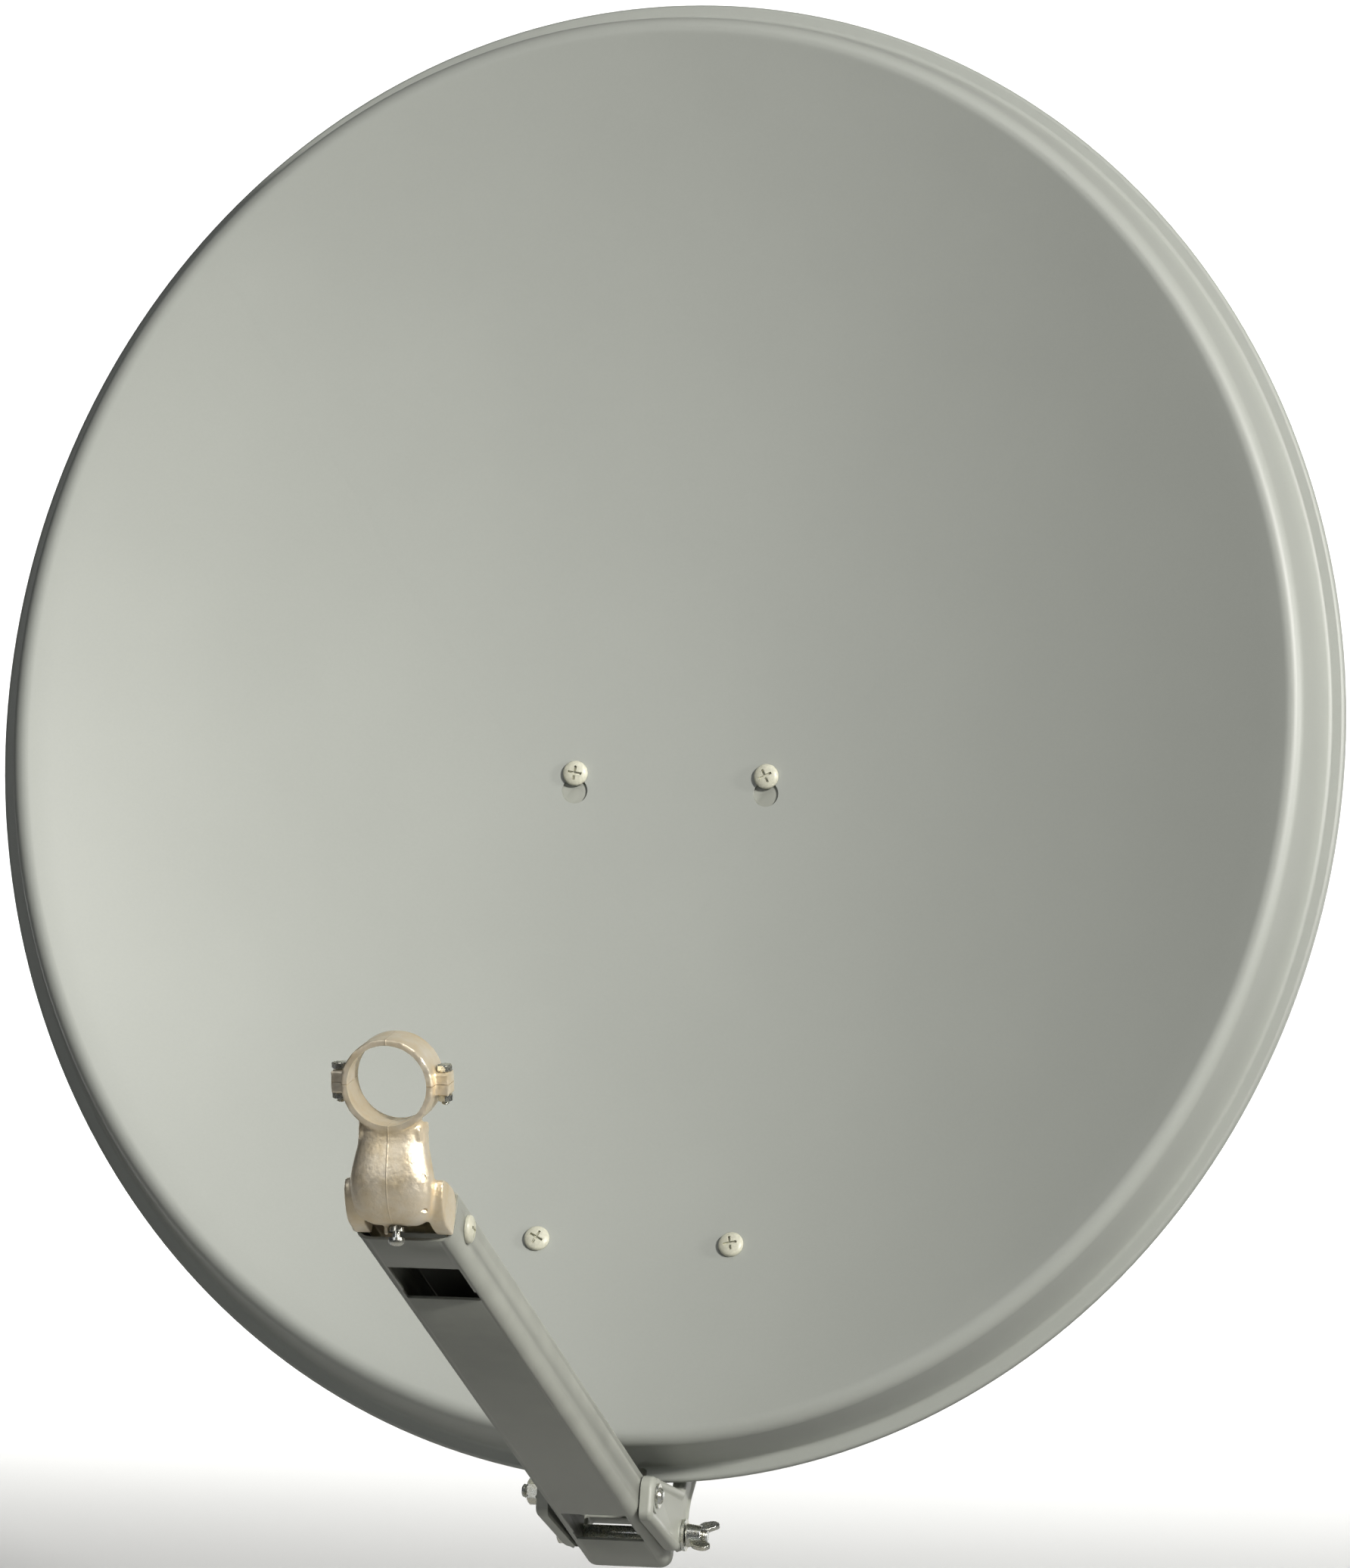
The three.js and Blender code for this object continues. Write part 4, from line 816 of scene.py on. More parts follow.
class DISH_OT_arm(bpy.types.Operator):
    """Build the hollow feed arm with its two windows and the open slot in its tail"""

    bl_idname = "dish.feed_arm"
    bl_label = "Feed arm"

    def execute(self, context):
        sizes = context.scene.dish_arm
        place = frames()["arm"]
        half, wall, edge = mm(sizes.width) / 2, mm(sizes.wall), mm(sizes.edge)
        low, high = -ARM_AXIS, mm(sizes.height) - ARM_AXIS
        reach, tail = mm(sizes.reach), mm(sizes.tail)

        def section(name, step, start, end):
            upper = max(3.0 - step, 0.5)
            corners = [
                (-half + step, low + step, edge - step),
                (half - step, low + step, edge - step),
                (half - step, high - step, upper),
                (-half + step, high - step, upper),
            ]
            return prism(name, corners, "y", start, end, place, 12)

        obj = section("feed_arm_tube", 0, -reach, tail)
        cutters = [section("inside", wall, -reach - 1, tail + 1)]
        side, top = half - 6.7, low + wall + 0.5
        for front in (42 - reach, -9):
            rear = front + mm(sizes.window)
            cutters.append(block("window", (-side, front, low - 1), (side, rear, top), place))
            # the rear quarter of a window is a little wider
            start = (-side - 0.9, front + mm(sizes.window) * 0.74, low - 1)
            cutters.append(block("window_step", start, (side + 0.9, rear, top), place))
        for radius, spot in ((M8, 0), (M6, SIDE_SCREW - reach)):
            cutters.append(rod("hole", (-60, spot, 0), (60, spot, 0), radius + CLEARANCE, place))
        cutters.append(self.lock_slot(half, high, place))
        shaped(obj, cutters)
        tidy(obj, 0.25, 35)
        coat = powder_coat("powder_coat_arm", context.scene.dish_finishes.arm)
        place_piece(obj, "arm", "arm_paint", coat, "feed_arm")
        return {"FINISHED"}

    def lock_slot(self, half, high, place):
        """An arc about the pivot, by which the tail swings off the lock bolt."""
        width, back, steps = M8 + CLEARANCE, ARM_LOCK, 24
        leave = math.asin((high + width + 6) / back)
        outline = []
        out, home = range(steps + 1), range(steps, -1, -1)
        for radius, shares in ((back + width, out), (back - width, home)):
            for k in shares:
                t = leave * k / steps
                outline.append((radius * math.cos(t), radius * math.sin(t)))
        for k in range(1, steps):
            t = math.pi + math.pi * k / steps
            outline.append((back + width * math.cos(t), width * math.sin(t)))
        loops = [[(x, y, z) for y, z in outline] for x in (-half - 2, half + 2)]
        return skin("lock_slot", loops, place)


# ---------------------------------------------------------------- die-cast holder


def melted(parts, name, cell, rounds):
    """Parts joined into one casting whose corners are rounded by a cell size in metres."""
    bm = bmesh.new()
    for part in parts:
        bm.from_mesh(part.data)
        bpy.data.objects.remove(part)
    mesh = bpy.data.meshes.new(name)
    bm.to_mesh(mesh)
    bm.free()
    obj = link(name, mesh)
    remesh = obj.modifiers.new("cast", "REMESH")
    remesh.mode = "VOXEL"
    remesh.voxel_size = cell
    smooth = obj.modifiers.new("fillets", "SMOOTH")
    smooth.factor = 0.5
    smooth.iterations = rounds
    return plain(obj)


def boot(place):
    """The boot under the ring: a curve through outlines between an ellipse and a rectangle."""
    half = mm(settings().dish_arm.width) / 2
    squareness = 0.76  # 1 is an ellipse and 0 a rectangle
    # forwards, up, half width as a share of the arm's, half depth
    stations = [
        (38.0, 41.0, 0.660, 10.0),
        (35.5, 38.0, 0.680, 11.0),
        (33.5, 30.0, 0.696, 11.5),
        (33.0, 23.5, 0.748, 12.0),
        (32.0, 13.5, 0.824, 12.5),
        (29.8, 5.0, 0.816, 12.3),
        (26.5, -2.0, 0.760, 11.0),
        (23.5, -6.4, 0.632, 8.6),
        (21.8, -8.6, 0.440, 6.0),
    ]
    loops = []
    for i in range(len(stations) - 1):
        a, b, c, d = (stations[min(max(i + k, 0), len(stations) - 1)] for k in (-1, 0, 1, 2))
        for step in range(4):
            t = step / 4
            spot = [
                0.5
                * (
                    2 * q
                    + (r - p) * t
                    + (2 * p - 5 * q + 4 * r - s) * t * t
                    + (3 * q - p - 3 * r + s) * t**3
                )
                for p, q, r, s in zip(a, b, c, d)
            ]
            loops.append(spot)
    loops.append(stations[-1])
    around = []
    for k in range(48):
        t = 2 * math.pi * k / 48
        c, s = math.cos(t), math.sin(t)
        around.append([math.copysign(abs(v) ** squareness, v) for v in (c, s)])
    return skin(
        "boot",
        [
            [(w * half * c, -forwards + deep * s, up) for c, s in around]
            for forwards, up, w, deep in loops
        ],
        place,
    )


def ring_blanks(place):
    """The split ring with a lug on each side, before it is split and bored."""
    sizes = settings().dish_holder
    outer, half = mm(sizes.bore + sizes.wall), mm(sizes.length) / 2
    parts = [rod("ring", (0, -half, 0), (0, half, 0), outer, place, 128)]
    reach, length, thick = LUG
    for side in (-1, 1):
        low, high = sorted((side * (outer - 4), side * (outer + reach)))
        parts.append(
            block("lugs", (low, -length / 2, -thick), (high, length / 2, thick), place)
        )
    return parts


def bore_tools(place):
    """The bore with its inner step, and the two lug holes."""
    sizes = settings().dish_holder
    bore, outer = mm(sizes.bore), mm(sizes.bore + sizes.wall)
    tools = [
        rod("bore", (0, -20, 0), (0, 20, 0), bore, place, 128),
        rod("step", (0, 3, 0), (0, 20, 0), bore + 0.7, place, 128),
    ]
    for side in (-1, 1):
        x = side * (outer + LUG[0] / 2)
        tools.append(rod("lug_hole", (x, 0, -9), (x, 0, 9), M4 + CLEARANCE, place, 32))
    return tools


class DISH_OT_holder(bpy.types.Operator):
    """Build the die-cast holder: lower half ring, boot, legs and the tongue inside the arm"""

    bl_idname = "dish.holder"
    bl_label = "Receiver holder"

    def execute(self, context):
        places = frames()
        arm, sizes = context.scene.dish_arm, context.scene.dish_holder
        place = places["holder"]
        along = place @ Matrix.Rotation(-arm.rise, 4, "X")
        half, wall = mm(arm.width) / 2, mm(arm.wall)
        tongue = half - wall - 2 * GAP
        leg_in = tongue - 6.5
        low, high = wall + GAP - ARM_AXIS, mm(arm.height) - ARM_AXIS - wall - GAP
        parts = ring_blanks(places["ring"])
        outer = mm(sizes.bore + sizes.wall)
        foot = ((-15.5, -9, -outer - 4), (15.5, 9, -outer + 1.6))
        parts.append(block("ring_foot", *foot, places["ring"]))
        parts.append(boot(place))
        parts.append(block("pip", (-6.2, -20, -13.2), (-4, -17.6, -4), place))
        leg = [
            (-GAP, low + 1, 2),
            (-GAP, 3, 4),
            (-8, high, 6),
            (-22, high - 1, 6),
            (-32, high - 3, 5),
            (-30, -2, 6),
            (-19, low + 1, 6),
        ]
        for side in (-1, 1):
            a, b = sorted((side * leg_in, side * half))
            parts.append(prism("leg", leg, "x", a, b, along))
            a, b = sorted((side * leg_in, side * tongue))
            parts.append(block("wall", (a, -6, low + mm(arm.edge) - wall), (b, 45, high), along))
        parts.append(block("plate", (-tongue, -14, high - 4), (tongue, 45, high - GAP), along))
        obj = melted(parts, "lnb_holder_casting", sizes.grain, 5)
        tools = bore_tools(places["ring"])
        tools.append(block("split", (-40, -20, -GAP / 2), (40, 20, 40), places["ring"]))
        y, z = FOOT_SCREW
        tools += [
            rod("side", (-40, SIDE_SCREW, 0), (40, SIDE_SCREW, 0), M6 + CLEARANCE, along),
            rod("foot_hole", (0, y, z - 3), (0, y, z + 17), M4 + CLEARANCE, place, 32),
            rod("spot_face", (0, y, z - 11), (0, y, z), 4.4, place, 32),
        ]
        # the round marks that the ejector pins leave in the boot
        out = Vector((0.8, -0.6, 0))
        for x, y, z in ((17.5, -40.2, 13.0), (17.0, -32.0, -3.0)):
            spot = Vector((x, y, z))
            tools.append(rod("pin", spot + out * 6, spot - out * 0.35, 2.1, place, 32))
        shaped(obj, tools)
        tidy(obj, 0.0, 38)
        place_piece(obj, "arm", "cast_aluminium", die_casting(), "lnb_holder")
        return {"FINISHED"}


class DISH_OT_clamp_cap(bpy.types.Operator):
    """Build the upper half of the split ring"""

    bl_idname = "dish.clamp_cap"
    bl_label = "Clamp cap"

    def execute(self, context):
        place = frames()["ring"]
        obj = melted(
            ring_blanks(place), "lnb_clamp_cap_casting", context.scene.dish_holder.grain, 5
        )
        tools = bore_tools(place)
        tools.append(block("split", (-40, -20, -40), (40, 20, GAP / 2), place))
        shaped(obj, tools)
        tidy(obj, 0.0, 38)
        place_piece(obj, "cap", "cast_aluminium", die_casting(), "lnb_clamp_cap")
        return {"FINISHED"}


class DISH_OT_wing_nut(bpy.types.Operator):
    """Build the cast wing nut on the arm's lock bolt"""

    bl_idname = "dish.wing_nut"
    bl_label = "Wing nut"

    def execute(self, context):
        y, z = arm_point(-ARM_LOCK, 0)
        outer = mm(context.scene.dish_arm.width) / 2 + ARM_PLAY + CHEEK
        seat = Vector((outer + 2 * GAP + WASHER, y, z))
        place = frames()["dish"] @ Matrix.Translation(seat) @ Matrix.Rotation(math.pi / 2, 4, "Y")
        off_upright = math.radians(-62)
        turned = place @ Matrix.Rotation(off_upright, 4, "Z")
        parts = [rod("hub", (0, 0, 0.2), (0, 0, 8.8), 6.8, place, 64, far_radius=5.6)]
        for side in (-1, 1):
            wing = [(4.5, 2, 0), (15, 6, 2), (18, 13, 3), (13, 17, 3), (4.5, 9, 0)]
            parts.append(
                prism("wing", [(side * u, v, r) for u, v, r in wing], "y", -1.3, 1.3, turned)
            )
        obj = melted(parts, "arm_wing_nut_casting", 0.00035, 3)
        shaped(obj, [rod("bore", (0, 0, -2), (0, 0, 12), M8 + GAP, place, 48)])
        tidy(obj, 0.0, 38)
        place_piece(obj, "wing_nut", "zinc_plate", zinc_plate(), "arm_wing_nut")
        return {"FINISHED"}


# ---------------------------------------------------------------- fasteners


def polar(tree):
    """Position parts of the current geometry: x, y, z and the angle about z."""
    spot = add(tree, "ShaderNodeSeparateXYZ", add(tree, "GeometryNodeInputPosition")).outputs
    return spot[0], spot[1], spot[2], add(tree, "ARCTAN2", spot[1], spot[0])


def moved(tree, geometry, x, y, z):
    place = add(tree, "ShaderNodeCombineXYZ", {0: x, 1: y, 2: z})
    return add(tree, "GeometryNodeSetPosition", {0: geometry, "Position": place})


def cylinder(tree, radius, low, high, vertices=48, segments=1):
    """A closed cylinder about z between two heights."""
    blank = add(
        tree,
        "GeometryNodeMeshCylinder",
        {"Vertices": vertices, "Side Segments": segments, "Radius": 1.0, "Depth": 1.0},
        fill_type="NGON",
    )
    x, y, z, _ = polar(tree)
    up = add(tree, "ADD", z, 0.5)
    height = add(tree, "MULTIPLY_ADD", add(tree, "SUBTRACT", high, low), up, low)
    return moved(
        tree, blank, add(tree, "MULTIPLY", x, radius), add(tree, "MULTIPLY", y, radius), height
    )


def hex_body(tree, flats, low, high):
    """A hexagon with its corners chamfered at both ends."""
    blank = add(
        tree,
        "GeometryNodeMeshCylinder",
        {"Vertices": 72, "Side Segments": 16, "Radius": 1.0, "Depth": 1.0},
        fill_type="NGON",
    )
    x, y, z, turn = polar(tree)
    apothem = add(tree, "MULTIPLY", flats, 0.5)
    slope, corner = 1.73, 0.96  # the chamfer's rise and where it meets the end, over the apothem
    sector = add(tree, "SUBTRACT", add(tree, "FLOORED_MODULO", turn, math.pi / 3), math.pi / 6)
    hexagon = add(tree, "DIVIDE", apothem, add(tree, "COSINE", sector))
    height = add(tree, "SUBTRACT", high, low)
    end = add(tree, "SUBTRACT", 0.5, add(tree, "ABSOLUTE", z))
    limit = add(
        tree,
        "MULTIPLY_ADD",
        add(tree, "MULTIPLY", end, height),
        slope,
        add(tree, "MULTIPLY", apothem, corner),
    )
    radius = add(tree, "MINIMUM", hexagon, limit)
    up = add(tree, "MULTIPLY_ADD", height, add(tree, "ADD", z, 0.5), low)
    return moved(
        tree, blank, add(tree, "MULTIPLY", x, radius), add(tree, "MULTIPLY", y, radius), up
    )


def thread(tree, radius, pitch, low, high):
    """A threaded length whose helix closes on itself, with a tapered end."""
    length = add(tree, "SUBTRACT", high, low)
    turns = add(tree, "DIVIDE", length, pitch)
    blank = add(
        tree,
        "GeometryNodeMeshCylinder",
        {
            "Vertices": 24,
            "Side Segments": add(tree, "CEIL", add(tree, "MULTIPLY", turns, 6.0)),
            "Radius": 1.0,
            "Depth": 1.0,
        },
        fill_type="NGON",
    )
    x, y, z, turn = polar(tree)
    up = add(tree, "MULTIPLY", add(tree, "ADD", z, 0.5), length)
    about = add(tree, "DIVIDE", turn, 2 * math.pi)
    phase = add(tree, "ADD", add(tree, "DIVIDE", up, pitch), about)
    groove = add(
        tree, "MULTIPLY", add(tree, "PINGPONG", phase, 0.5), add(tree, "MULTIPLY", pitch, 1.1)
    )
    left = add(tree, "SUBTRACT", length, up)
    taper = add(
        tree, "MAXIMUM", add(tree, "SUBTRACT", add(tree, "MULTIPLY", pitch, 0.9), left), 0.0
    )
    reach = add(tree, "SUBTRACT", radius, add(tree, "MAXIMUM", groove, taper))
    return moved(
        tree,
        blank,
        add(tree, "MULTIPLY", x, reach),
        add(tree, "MULTIPLY", y, reach),
        add(tree, "ADD", up, low),
    )


def seated(tree, given, part):
    """Ends a tree with the part repeated on the seats that the modifier's own mesh marks."""
    axis = add(tree, "GeometryNodeInputNamedAttribute", {"Name": "axis"}, data_type="FLOAT_VECTOR")
    turn = add(tree, "GeometryNodeInputNamedAttribute", {"Name": "turn"}, data_type="FLOAT")
    aim = add(tree, "FunctionNodeAlignRotationToVector", {"Vector": axis}, axis="Z")
    spin = add(
        tree, "FunctionNodeAxisAngleToRotation", {"Axis": (0, 0, 1), "Angle": turn}
    )
    both = add(
        tree,
        "FunctionNodeRotateRotation",
        {"Rotation": aim, "Rotate By": spin},
        rotation_space="LOCAL",
    )
    placed = add(
        tree,
        "GeometryNodeInstanceOnPoints",
        {"Points": given["Geometry"], "Instance": part, "Rotation": both},
    )
    return finish_tree(tree, placed, given["Material"])


def hex_bolt_tree():
    """Hexagon head below the seat, plain shank and threaded end above it."""
    tree, given = new_tree(
        "Hexagon bolt",
        [
            ("Shank radius", "NodeSocketFloat", 0.004),
            ("Length", "NodeSocketFloat", 0.02),
            ("Thread", "NodeSocketFloat", 0.012),
            ("Pitch", "NodeSocketFloat", 0.00125),
            ("Across flats", "NodeSocketFloat", 0.013),
            ("Head", "NodeSocketFloat", 0.0053),
            ("Material", "NodeSocketMaterial", None),
        ],
    )
    head = hex_body(tree, given["Across flats"], add(tree, "MULTIPLY", given["Head"], -1.0), 0.0)
    start = add(tree, "SUBTRACT", given["Length"], given["Thread"])
    shank = cylinder(
        tree, given["Shank radius"], add(tree, "MULTIPLY", given["Head"], -0.5), start, 32
    )
    end = thread(tree, given["Shank radius"], given["Pitch"], start, given["Length"])
    return seated(tree, given, add(tree, "GeometryNodeJoinGeometry", [head, shank, end]))


def hex_nut_tree():
    """Chamfered hexagon with a plain bore."""
    tree, given = new_tree(
        "Hexagon nut",
        [
            ("Bore radius", "NodeSocketFloat", 0.0043),
            ("Across flats", "NodeSocketFloat", 0.013),
            ("Height", "NodeSocketFloat", 0.0065),
            ("Material", "NodeSocketMaterial", None),
        ],
    )
    body = hex_body(tree, given["Across flats"], 0.0, given["Height"])
    above = add(tree, "ADD", given["Height"], 0.001)
    hole = cylinder(tree, given["Bore radius"], -0.001, above, 48)
    cut = add(tree, "GeometryNodeMeshBoolean", body, hole, operation="DIFFERENCE", solver="EXACT")
    return seated(tree, given, cut)


def washer_tree():
    """Flat washer."""
    tree, given = new_tree(
        "Washer",
        [
            ("Bore radius", "NodeSocketFloat", 0.0043),
            ("Radius", "NodeSocketFloat", 0.009),
            ("Height", "NodeSocketFloat", 0.0016),
            ("Material", "NodeSocketMaterial", None),
        ],
    )
    disc = cylinder(tree, given["Radius"], 0.0, given["Height"], 64)
    above = add(tree, "ADD", given["Height"], 0.001)
    hole = cylinder(tree, given["Bore radius"], -0.001, above, 48)
    cut = add(tree, "GeometryNodeMeshBoolean", disc, hole, operation="DIFFERENCE", solver="EXACT")
    return seated(tree, given, cut)


def pan_screw_tree():
    """Domed head below the seat, with a cross recess, and a threaded shank above it."""
    tree, given = new_tree(
        "Pan-head screw",
        [
            ("Shank radius", "NodeSocketFloat", 0.003),
            ("Length", "NodeSocketFloat", 0.012),
            ("Thread", "NodeSocketFloat", 0.008),
            ("Pitch", "NodeSocketFloat", 0.001),
            ("Head radius", "NodeSocketFloat", 0.0072),
            ("Head", "NodeSocketFloat", 0.0036),
            ("Edge", "NodeSocketFloat", 0.3),
            ("Dome", "NodeSocketFloat", 1.0),
            ("Recess", "NodeSocketFloat", 0.0019),
            ("Material", "NodeSocketMaterial", None),
        ],
    )
    blank = add(
        tree,
        "GeometryNodeMeshCylinder",
        {"Vertices": 64, "Side Segments": 3, "Fill Segments": 20, "Radius": 1.0, "Depth": 1.0},
        fill_type="TRIANGLE_FAN",
    )
    x, y, z, _ = polar(tree)
    out = add(
        tree,
        "SQRT",
        add(tree, "ADD", add(tree, "MULTIPLY", x, x), add(tree, "MULTIPLY", y, y)),
    )
    share = add(tree, "MINIMUM", add(tree, "DIVIDE", out, given["Dome"]), 1.0)
    fall = add(tree, "SUBTRACT", 1.0, add(tree, "POWER", share, 2.4))
    arch = add(tree, "SQRT", add(tree, "MAXIMUM", fall, 0.0))
    rise = add(
        tree, "MULTIPLY_ADD", arch, add(tree, "SUBTRACT", 1.0, given["Edge"]), given["Edge"]
    )
    face = add(tree, "SUBTRACT", z, 0.5)
    depth = add(tree, "MULTIPLY", add(tree, "MULTIPLY", face, given["Head"]), rise)
    head = moved(
        tree,
        blank,
        add(tree, "MULTIPLY", x, given["Head radius"]),
        add(tree, "MULTIPLY", y, given["Head radius"]),
        depth,
    )
    tools = []
    for turned in (False, True):
        long = add(tree, "MULTIPLY", given["Head radius"], 1.12)
        wide = add(tree, "MULTIPLY", given["Head radius"], 0.2)
        tall = add(tree, "MULTIPLY", given["Recess"], 2.0)
        values = {0: wide, 1: long, 2: tall} if turned else {0: long, 1: wide, 2: tall}
        extent = add(tree, "ShaderNodeCombineXYZ", values)
        bar = add(tree, "GeometryNodeMeshCube", {"Size": extent})
        down = add(
            tree, "ShaderNodeCombineXYZ", {2: add(tree, "MULTIPLY", given["Head"], -1.0)}
        )
        tools.append(
            add(tree, "GeometryNodeTransform", {"Geometry": bar, "Translation": down})
        )
    crossed = add(
        tree, "GeometryNodeMeshBoolean", head, tools, operation="DIFFERENCE", solver="EXACT"
    )
    choice = add(
        tree,
        "GeometryNodeSwitch",
        {
            "Switch": add(tree, "GREATER_THAN", given["Recess"], 0.0),
            "False": head,
            "True": crossed,
        },
        input_type="GEOMETRY",
    )
    start = add(tree, "SUBTRACT", given["Length"], given["Thread"])
    shank = cylinder(
        tree, given["Shank radius"], add(tree, "MULTIPLY", given["Head"], -0.1), start, 32
    )
    end = thread(tree, given["Shank radius"], given["Pitch"], start, given["Length"])
    return seated(tree, given, add(tree, "GeometryNodeJoinGeometry", [choice, shank, end]))


M8_NUT = {"Bore radius": 4.3, "Across flats": 13, "Height": 6.5}
M6_NUT = {"Bore radius": 3.3, "Across flats": 10, "Height": 5}
M4_NUT = {"Bore radius": 2.3, "Across flats": 7, "Height": 3.2}
M8_WASHER = {"Bore radius": 4.3, "Radius": 9, "Height": WASHER}
FOOT_WASHER = {"Bore radius": 2.3, "Radius": 3.8, "Height": 2.2}
ENAMELLED = ("reflector_screws", "holder_side_screw_pan")  # the others are zinc plated


def hex_bolt(radius, length, thread_length, pitch, flats, head):
    """Sizes of a hexagon bolt in mm."""
    return {
        "Shank radius": radius,
        "Length": length,
        "Thread": thread_length,
        "Pitch": pitch,
        "Across flats": flats,
        "Head": head,
    }


def m8_bolt(length, thread_length):
    return hex_bolt(M8, length, thread_length, 1.25, 13, 5.3)


def pan_screw(radius, length, thread_length, pitch, head, recess=0.0, edge=0.3, dome=1.0):
    """Sizes of a domed screw in mm, with its edge and dome as shares of the head."""
    return {
        "Shank radius": radius,
        "Length": length,
        "Thread": thread_length,
        "Pitch": pitch,
        "Head radius": head[0],
        "Head": head[1],
        "Edge": 1000 * edge,
        "Dome": 1000 * dome,
        "Recess": recess,
    }


# Each function below gives rows: the piece, its tree, sizes, frame and body, and for each node its
# seat, the direction of its shank and its turn in degrees.


def pair(node, seat):
    """Seats of a left and a right node, each from its side, -1 or 1."""
    return {f"{node}_{name}": seat(side) for name, side in (("left", -1), ("right", 1))}


def face_fasteners():
    corners = ("upper_left", "upper_right", "lower_left", "lower_right")
    turns = (12, 58, 33, 71)
    heads, backs = {}, {}
    for number, (corner, (x, z)) in enumerate(zip(corners, seats())):
        inward = -face_normal(x, z)
        heads["reflector_screw_" + corner] = (ahead(x, z, GAP), inward, turns[number])
        backs["reflector_nut_" + corner] = (ahead(x, z, -4.3), inward, 20 * number)
    screw = pan_screw(M6, 12.3, 9, 1.0, (7.2, 3.6), 1.9)
    return [
        ("reflector_screws", "screw", screw, "dish", "dish", heads),
        ("reflector_nuts", "nut", M6_NUT, "dish", "dish", backs),
    ]


def bracket_fasteners():
    front, behind = web_back() - 2 * SHEET_STEEL - 2 * GAP, web_back() + GAP
    edge = reflector_shape()["bottom"] + WEB_FOOT
    bolts, nuts = {}, {}
    for name, rise in zip(("lower", "upper"), WEB_BOLTS):
        bolts["bracket_bolt_" + name] = ((0, front, edge + rise), (0, 1, 0), 15)
        nuts["bracket_nut_" + name] = ((0, behind, edge + rise), (0, 1, 0), 25)
    return [
        ("bracket_bolts", "bolt", m8_bolt(14.3, THREAD_END), "dish", "dish", bolts),
        ("bracket_nuts", "nut", M8_NUT, "dish", "dish", nuts),
    ]


def arm_fasteners():
    outer = mm(settings().dish_arm.width) / 2 + ARM_PLAY + CHEEK
    span, seat = 2 * (outer + GAP), outer + GAP
    y, z = arm_point(0, 0)
    domed = pan_screw(M8, span + 10, 16, 1.25, (6.8, 3.4), edge=0.32, dome=0.68)
    bolt = {"arm_pivot_bolt": ((seat, y, z), (-1, 0, 0), 0)}
    nut = {"arm_pivot_nut": ((-seat, y, z), (-1, 0, 0), 10)}
    y, z = arm_point(-ARM_LOCK, 0)
    lock = {"arm_lock_bolt": ((-seat, y, z), (1, 0, 0), 40)}
    washer = {"arm_lock_washer": ((seat, y, z), (1, 0, 0), 0)}
    return [
        ("arm_pivot_bolt_domed", "screw", domed, "dish", "dish", bolt),
        ("arm_pivot_nut_hex", "nut", M8_NUT, "dish", "dish", nut),
        ("arm_lock_bolt_hex", "bolt", m8_bolt(span + 13.9, 20), "dish", "dish", lock),
        ("arm_lock_washer_flat", "washer", M8_WASHER, "dish", "dish", washer),
    ]


def holder_fasteners():
    arm = settings().dish_arm
    seat, spot = mm(arm.width) / 2 + GAP, SIDE_SCREW - mm(arm.reach)
    screw = {"holder_side_screw": ((seat, spot, 0), (-1, 0, 0), 25)}
    nut = {"holder_side_nut": ((-seat, spot, 0), (-1, 0, 0), 5)}
    y, z = FOOT_SCREW
    neck = 3.2  # bare shank between the washer and the head
    low = z - GAP - FOOT_WASHER["Height"] - neck
    washer = {"foot_washer": ((0, y, z - GAP), (0, 0, -1), 0)}
    foot = {"foot_screw": ((0, y, low), (0, 0, 1), 0)}
    side_sizes = pan_screw(M6, 2 * seat + 8, 12, 1.0, (7.2, 3.6), 1.9)
    foot_sizes = pan_screw(M4, 15.4, 9, 0.7, (4.1, 4), edge=0.35)
    return [
        ("holder_side_screw_pan", "screw", side_sizes, "arm", "arm", screw),
        ("holder_side_nut_hex", "nut", M6_NUT, "arm", "arm", nut),
        ("foot_washer_round", "washer", FOOT_WASHER, "holder", "arm", washer),
        ("foot_screw_domed", "screw", foot_sizes, "holder", "arm", foot),
    ]


def ring_fasteners():
    holder = settings().dish_holder
    x, up = mm(holder.bore + holder.wall) + LUG[0] / 2, LUG[2] + GAP
    screws = pair("clamp_screw", lambda side: ((side * x, 0, up), (0, 0, -1), 12 * side))
    nuts = pair("clamp_nut", lambda side: ((side * x, 0, -up), (0, 0, -1), 20 * side))
    return [
        ("clamp_screws", "bolt", hex_bolt(M4, 16.6, 12, 0.7, 7, 3.2), "ring", "cap", screws),
        ("clamp_nuts", "nut", M4_NUT, "ring", "arm", nuts),
    ]


def mast_fasteners():
    # outer face of a clamp plate: the V's tip over the mast, play and the plate's own thickness
    plate = MAST / math.sin(V_ANGLE) + 0.4 + HEAD_PLATE
    seat, x = plate + GAP, CLAMP_BOLT
    sizes = m8_bolt(2 * plate + WASHER + 3 * GAP + 14, 32)
    bolts = pair("mast_bolt", lambda side: ((side * x, -seat, 0), (0, 1, 0), 8 * side))
    washers = pair("mast_washer", lambda side: ((side * x, seat, 0), (0, 1, 0), 0))
    over = seat + GAP + WASHER
    nuts = pair("mast_nut", lambda side: ((side * x, over, 0), (0, 1, 0), 14 * side))
    return [
        ("mast_bolts", "bolt", sizes, "mast", "mast_clamp", bolts),
        ("mast_washers", "washer", M8_WASHER, "mast", "jaw", washers),
        ("mast_nuts", "nut", M8_NUT, "mast", "jaw", nuts),
    ]


